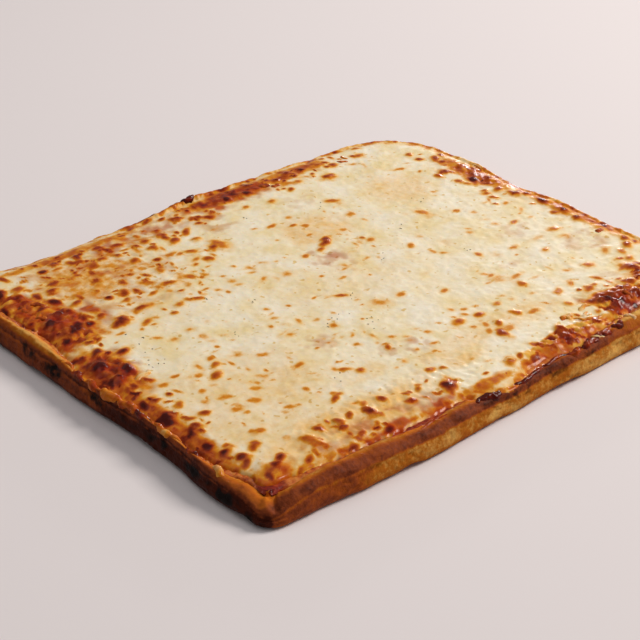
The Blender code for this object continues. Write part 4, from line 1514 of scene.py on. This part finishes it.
class PIZZA_OT_cheese(bpy.types.Operator):
    """Makes the sheet of melted cheese with its blisters."""

    bl_idname = "pizza.cheese"
    bl_label = "Cheese"

    def execute(self, context):
        look = context.scene.pizza_cheese
        walk, crust = crust_shape(context.scene.pizza_crust)[:2]
        plan = cheese_plan(walk, look.spacing)
        x, y, _, from_edge = plan
        values, *relief = cheese_baking(x, y, from_edge, look)
        crust_top = TopMap(crust, TRAY_FLOOR).read(x, y)
        z = cheese_height(plan, look, crust_top, *relief)
        faces, border = sheet_faces(*x.shape)
        points = np.stack([x, y, z], axis=-1).reshape(-1, 3)
        inward = points[border] * np.array([0.985, 0.985, 1.0])
        inward[:, 2] = np.minimum(CHEESE_BASE, points[border][:, 2] - 0.001)
        rest = np.zeros(len(border))
        mesh_piece(
            "melted_cheese",
            np.concatenate([points, inward]),
            faces,
            ("cheese",),
            {label: np.concatenate([value.ravel(), rest]) for label, value in values.items()},
            melted_cheese(look),
        )
        return {"FINISHED"}


def top_of_pizza():
    """The height map of everything made so far, from the pieces' own points."""
    points = []
    for name in ("pan_crust", "tomato_sauce", "melted_cheese"):
        mesh = bpy.data.objects[name].data
        flat = np.zeros(3 * len(mesh.vertices), np.float32)
        mesh.vertices.foreach_get("co", flat)
        points.append(flat.reshape(-1, 3).astype(float) - PLAN_SHIFT)
    return TopMap(np.concatenate(points), CHEESE_TOP)


def held_below(height, highest):
    """Heights bent over, so that none passes the highest one: from the soft limit under it, they near
    it by 1 − e⁻ᵗ, where t is what is left over the soft limit."""
    over = np.maximum(height - highest + SOFT_LIMIT, 0.0)
    return height - over + SOFT_LIMIT * (1 - np.exp(-over / SOFT_LIMIT))


def tubes(paths, radii, sides, flatness):
    """Closed tubes along paths. Each path's rings stand across its direction, wider than high by the
    flatness; the radii close both ends to a small cap. Returns the points and the faces."""
    count, rings = paths.shape[:2]
    ahead = np.gradient(paths, axis=1)
    ahead /= np.maximum(np.linalg.norm(ahead, axis=-1, keepdims=True), 1e-12)
    aside = np.cross(np.array([0.0, 0.0, 1.0]), ahead)
    aside /= np.maximum(np.linalg.norm(aside, axis=-1, keepdims=True), 1e-12)
    above = np.cross(ahead, aside)
    turn = np.arange(sides) / sides * 2 * math.pi
    around = (
        aside[:, :, None, :] * np.cos(turn)[:, None]
        + flatness * above[:, :, None, :] * np.sin(turn)[:, None]
    )
    points = paths[:, :, None, :] + around * radii[:, :, None, None]
    one = ring_faces(rings, sides)
    faces = [
        [corner + number * rings * sides for corner in face] for number in range(count) for face in one
    ]
    return points.reshape(-1, 3), faces


def swollen(points, paths, swell):
    """A tube's points, each moved away from the path's own point by the swell, as a factor."""
    middle = np.repeat(paths.reshape(-1, 3), 3 * len(points) // paths.size, axis=0)
    return middle + (points - middle) * swell[:, None]


class PIZZA_OT_shreds(bpy.types.Operator):
    """Scatters loose baked shreds of cheese on the edge of the pizza."""

    bl_idname = "pizza.shreds"
    bl_label = "Shreds"

    def execute(self, context):
        look = context.scene.pizza_shreds
        surface = top_of_pizza()
        draw = np.random.default_rng(31)
        found = spread(SHRED_STRETCHES_MM, look.count, 33, 0.0070, 0.0016)
        count = len(found)
        # A shred is a tube along a path. Its heading starts near the grain's and bends by a random line
        # plus a sine; its height is the surface's, evened along the path, plus a low arch; its radius
        # falls with the cube of the distance from the middle, and noise swells it.
        rings, sides = 15, 10
        steps = np.linspace(-0.5, 0.5, rings)[None, :]
        heading = found[:, 4:5] * 2
        bend = draw.normal(0, 1.6, (count, 1)) * steps + 0.5 * np.sin(
            9 * steps + draw.uniform(0, 6, (count, 1))
        )
        length = found[:, 2:3]
        way = heading + bend
        x = found[:, 0:1] + np.cumsum(np.cos(way), axis=1) * length / rings
        y = found[:, 1:2] + np.cumsum(np.sin(way), axis=1) * length / rings
        kept = (lies_inside(x, y) & (surface.read(x, y) > look.lowest)).all(axis=1)
        thick = (look.thickness * draw.uniform(0.6, 1.4, (count, 1)))[kept]
        taper = 1 - (2 * np.abs(steps)) ** 3 * 0.86
        radii = thick * (taper * (1 + 0.18 * np.sin(17 * steps + 5 * heading[kept])))
        x, y = x[kept], y[kept]
        z = surface.read(x, y)
        for _ in range(6):
            held = np.concatenate([z[:, :1], z, z[:, -1:]], axis=1)
            z = (held[:, :-2] + 2 * held[:, 1:-1] + held[:, 2:]) / 4
        z = z - 0.42 * radii
        ends = np.abs(steps) ** 2 * 0.0030
        lift = look.lift * draw.uniform(0, 1, (len(x), 1)) * (1 - 4 * steps**2)
        paths = np.stack([x, y, z + lift - ends], axis=-1)
        points, faces = tubes(paths, radii, sides, 0.72)
        points = swollen(points, paths, 1 + 0.34 * noise(points, 0.0036, 35))
        points[:, 2] = np.minimum(points[:, 2], look.highest)
        brown = np.clip(found[kept, 5] + draw.normal(0, 0.10, len(x)), 0.05, 0.95)
        along = 0.34 * noise(points, 0.0055, 34)
        values = {
            "brown": np.repeat(brown, rings * sides) + along,
            "thin": 0.22 + 0.4 * noise(points, 0.0070, 36),
            "oil": np.full(len(points), 0.50),
        }
        material = melted_cheese(context.scene.pizza_cheese)
        mesh_piece("baked_shreds", points, faces, (), values, material)
        return {"FINISHED"}


def lies_inside(x, y, corner=0.018, margin=0.004):
    """Whether each place lies within the margin inside a rounded oblong of the pizza's nominal size:
    how far it is beyond the straight parts, squared and summed, is under the corner's radius."""
    beyond_x = np.maximum(np.abs(x) - (LENGTH / 2 - corner), 0)
    beyond_y = np.maximum(np.abs(y) - (WIDTH / 2 - corner), 0)
    return np.hypot(beyond_x, beyond_y) < corner - margin


class PIZZA_OT_rim_bits(bpy.types.Operator):
    """Makes the charred lumps and the strands of cheese that lie on the rim."""

    bl_idname = "pizza.rim_bits"
    bl_label = "Rim Bits"

    def execute(self, context):
        look = context.scene.pizza_cheese
        walk = Walk(context.scene.pizza_crust.spacing)
        material = melted_cheese(look)
        for name, table, rings, sides, coarse, inside, *powers in RIM_BITS:
            paths, radii = along_rim(walk, table, rings, inside, powers)
            points, faces = tubes(paths, radii, sides, 1.0)
            swell = 1 + coarse * (noise(points, 0.0040, 81) + 0.6 * noise(points, 0.0018, 82))
            points = swollen(points, paths, swell)
            points[:, 2] = held_below(points[:, 2], look.highest)
            brown = np.repeat([row[4] for row in table], rings * sides)
            values = {
                "brown": brown + 0.30 * noise(points, 0.0046, 83),
                "thin": 0.42 + 0.4 * noise(points, 0.0070, 84),
                "oil": np.full(len(points), 0.6),
            }
            mesh_piece(name, points, faces, ("crust",), values, material)
        return {"FINISHED"}


def along_rim(walk, table, rings, inside, powers):
    """Paths along the crest of the rim at each place of the table, and their radii. A path follows
    the inset outline, sways by a sine and dips to its ends; the radius closes by the two powers:
    (1 − 0.9 |2t|ᵃ)ᵇ for t from −½ to ½."""
    paths = []
    radii = []
    steps = np.linspace(-0.5, 0.5, rings)
    for number, (place_x, place_y, length, radius, _) in enumerate(table):
        start = np.argmin(np.hypot(*(walk.outline - np.array([place_x, place_y]) * MM).T))
        inset = np.full(len(walk.outline), 0.0012 + inside * walk.width[start])
        plan = walk.inwards(inset) + walk.normal * walk.shift[:, None]
        spacing = np.hypot(*(plan[(start + 1) % len(plan)] - plan[start]))
        order = start + steps * length * MM / spacing
        whole = np.arange(len(plan))
        rows = (plan[:, 0], plan[:, 1], 0.99 * walk.height)
        path = np.stack([np.interp(order, whole, row, period=len(plan)) for row in rows], axis=-1)
        path[:, :2] += walk.normal[start] * (0.0010 * np.sin(7 * steps + 2 * number))[:, None]
        path[:, 2] -= 0.0004 + 0.0014 * np.abs(steps)
        paths.append(path)
        radii.append(radius * MM * (1 - (2 * np.abs(steps)) ** powers[0] * 0.9) ** powers[1])
    return np.array(paths), np.array(radii)


class PIZZA_OT_herbs(bpy.types.Operator):
    """Scatters dried herb flecks, 1 to 2 mm long, a few at each place."""

    bl_idname = "pizza.herbs"
    bl_label = "Herbs"

    def execute(self, context):
        look = context.scene.pizza_herbs
        surface = top_of_pizza()
        draw = np.random.default_rng(41)
        # A fleck is a tiny flattened tube along a bent line that lies on the surface, thinned to its ends
        # by the square of the distance from the middle.
        middles = np.repeat(np.array(HERBS_MM, float) * MM, 3, axis=0)
        middles += draw.normal(0, 0.0040, middles.shape)
        count = len(middles)
        steps = np.linspace(-0.5, 0.5, 5)[None, :]
        heading = draw.uniform(0, math.pi, (count, 1)) + 0.9 * steps * draw.normal(0, 1, (count, 1))
        length = look.length * draw.uniform(0.5, 1.3, (count, 1))
        x = middles[:, 0:1] + steps * length * np.cos(heading)
        y = middles[:, 1:2] + steps * length * np.sin(heading)
        z = surface.read(x, y) + 0.0001
        radii = 0.00030 * (1 - 0.8 * (2 * np.abs(steps)) ** 2) * draw.uniform(0.7, 1.4, (count, 1))
        points, faces = tubes(np.stack([x, y, z], axis=-1), radii, 6, 0.5)
        mesh_piece("herb_flecks", points, faces, (), {}, dried_herb(look))
        return {"FINISHED"}


class PIZZA_OT_stage(bpy.types.Operator):
    """Makes the floor, the lights and the camera."""

    bl_idname = "pizza.stage"
    bl_label = "Stage"

    def execute(self, context):
        look = context.scene.pizza_stage
        half = look.floor / 2
        mesh = bpy.data.meshes.new("floor")
        corners = [(-half, -half, 0), (half, -half, 0), (half, half, 0), (-half, half, 0)]
        mesh.from_pydata([(x, y, z - 0.0002) for x, y, z in corners], [], [(0, 1, 2, 3)])
        mesh.materials.append(backdrop_paper(look))
        floor = bpy.data.objects.new("floor", mesh)
        context.scene.collection.objects.link(floor)

        world = bpy.data.worlds.new("soft_studio")
        world.use_nodes = True
        background = world.node_tree.nodes["Background"]
        background.inputs["Color"].default_value = linear(SKY)
        background.inputs["Strength"].default_value = look.fill
        context.scene.world = world

        for name, power, side, place, code in LIGHTS:
            add_light(context, name, getattr(look, power), side, place, code)

        camera = bpy.data.cameras.new("camera")
        camera.lens = LENS_MM
        camera.sensor_width = SENSOR_MM
        camera.clip_end = 50.0
        viewer = bpy.data.objects.new("camera", camera)
        viewer.location = CAMERA_PLACE + PLAN_SHIFT
        viewer.rotation_euler = (math.radians(90 - CAMERA_DOWN), 0.0, math.radians(CAMERA_TURN))
        context.scene.collection.objects.link(viewer)
        context.scene.camera = viewer
        context.scene.view_settings.view_transform = "Standard"
        return {"FINISHED"}


def add_light(context, name, power, side, place, code):
    """Adds a square area light at a place, aimed at the pizza's middle."""
    lamp = bpy.data.lights.new(name, "AREA")
    lamp.energy = power
    lamp.size = side
    lamp.color = linear(code)[:3]
    holder = bpy.data.objects.new(name, lamp)
    holder.location = place
    far = math.hypot(place[0], place[1])
    holder.rotation_euler = (
        math.atan2(far, place[2]),
        0.0,
        math.atan2(place[1], place[0]) + math.pi / 2,
    )
    context.scene.collection.objects.link(holder)


class PIZZA_PT_panel(bpy.types.Panel):
    """Lists the pizza's pieces and their settings."""

    bl_idname = "PIZZA_PT_panel"
    bl_label = "Sicilian Pizza"
    bl_space_type = "VIEW_3D"
    bl_region_type = "UI"
    bl_category = "Pizza"

    def draw(self, context):
        for step in STEPS:
            self.layout.operator(f"pizza.{step}")
        for group in SETTINGS:
            box = self.layout.box()
            settings = getattr(context.scene, group)
            for label in settings.bl_rna.properties.keys():
                if label not in ("rna_type", "name"):
                    box.prop(settings, label)


STEPS = ("crust", "sauce", "cheese", "shreds", "rim_bits", "herbs", "stage")
SETTINGS = {
    "pizza_crust": PIZZA_PG_crust,
    "pizza_sauce": PIZZA_PG_sauce,
    "pizza_cheese": PIZZA_PG_cheese,
    "pizza_shreds": PIZZA_PG_shreds,
    "pizza_herbs": PIZZA_PG_herbs,
    "pizza_stage": PIZZA_PG_stage,
}
CLASSES = (
    *SETTINGS.values(),
    PIZZA_OT_crust,
    PIZZA_OT_sauce,
    PIZZA_OT_cheese,
    PIZZA_OT_shreds,
    PIZZA_OT_rim_bits,
    PIZZA_OT_herbs,
    PIZZA_OT_stage,
    PIZZA_PT_panel,
)


def register():
    """Registers the classes and hangs the settings on the scene."""
    for item in CLASSES:
        bpy.utils.register_class(item)
    for label, group in SETTINGS.items():
        setattr(bpy.types.Scene, label, bpy.props.PointerProperty(type=group))


def unregister():
    """Takes the settings and the classes away again."""
    for label in SETTINGS:
        delattr(bpy.types.Scene, label)
    for item in reversed(CLASSES):
        bpy.utils.unregister_class(item)


def main():
    """Makes every piece and the stage."""
    register()
    for step in STEPS:
        getattr(bpy.ops.pizza, step)()


if __name__ == "__main__":
    main()
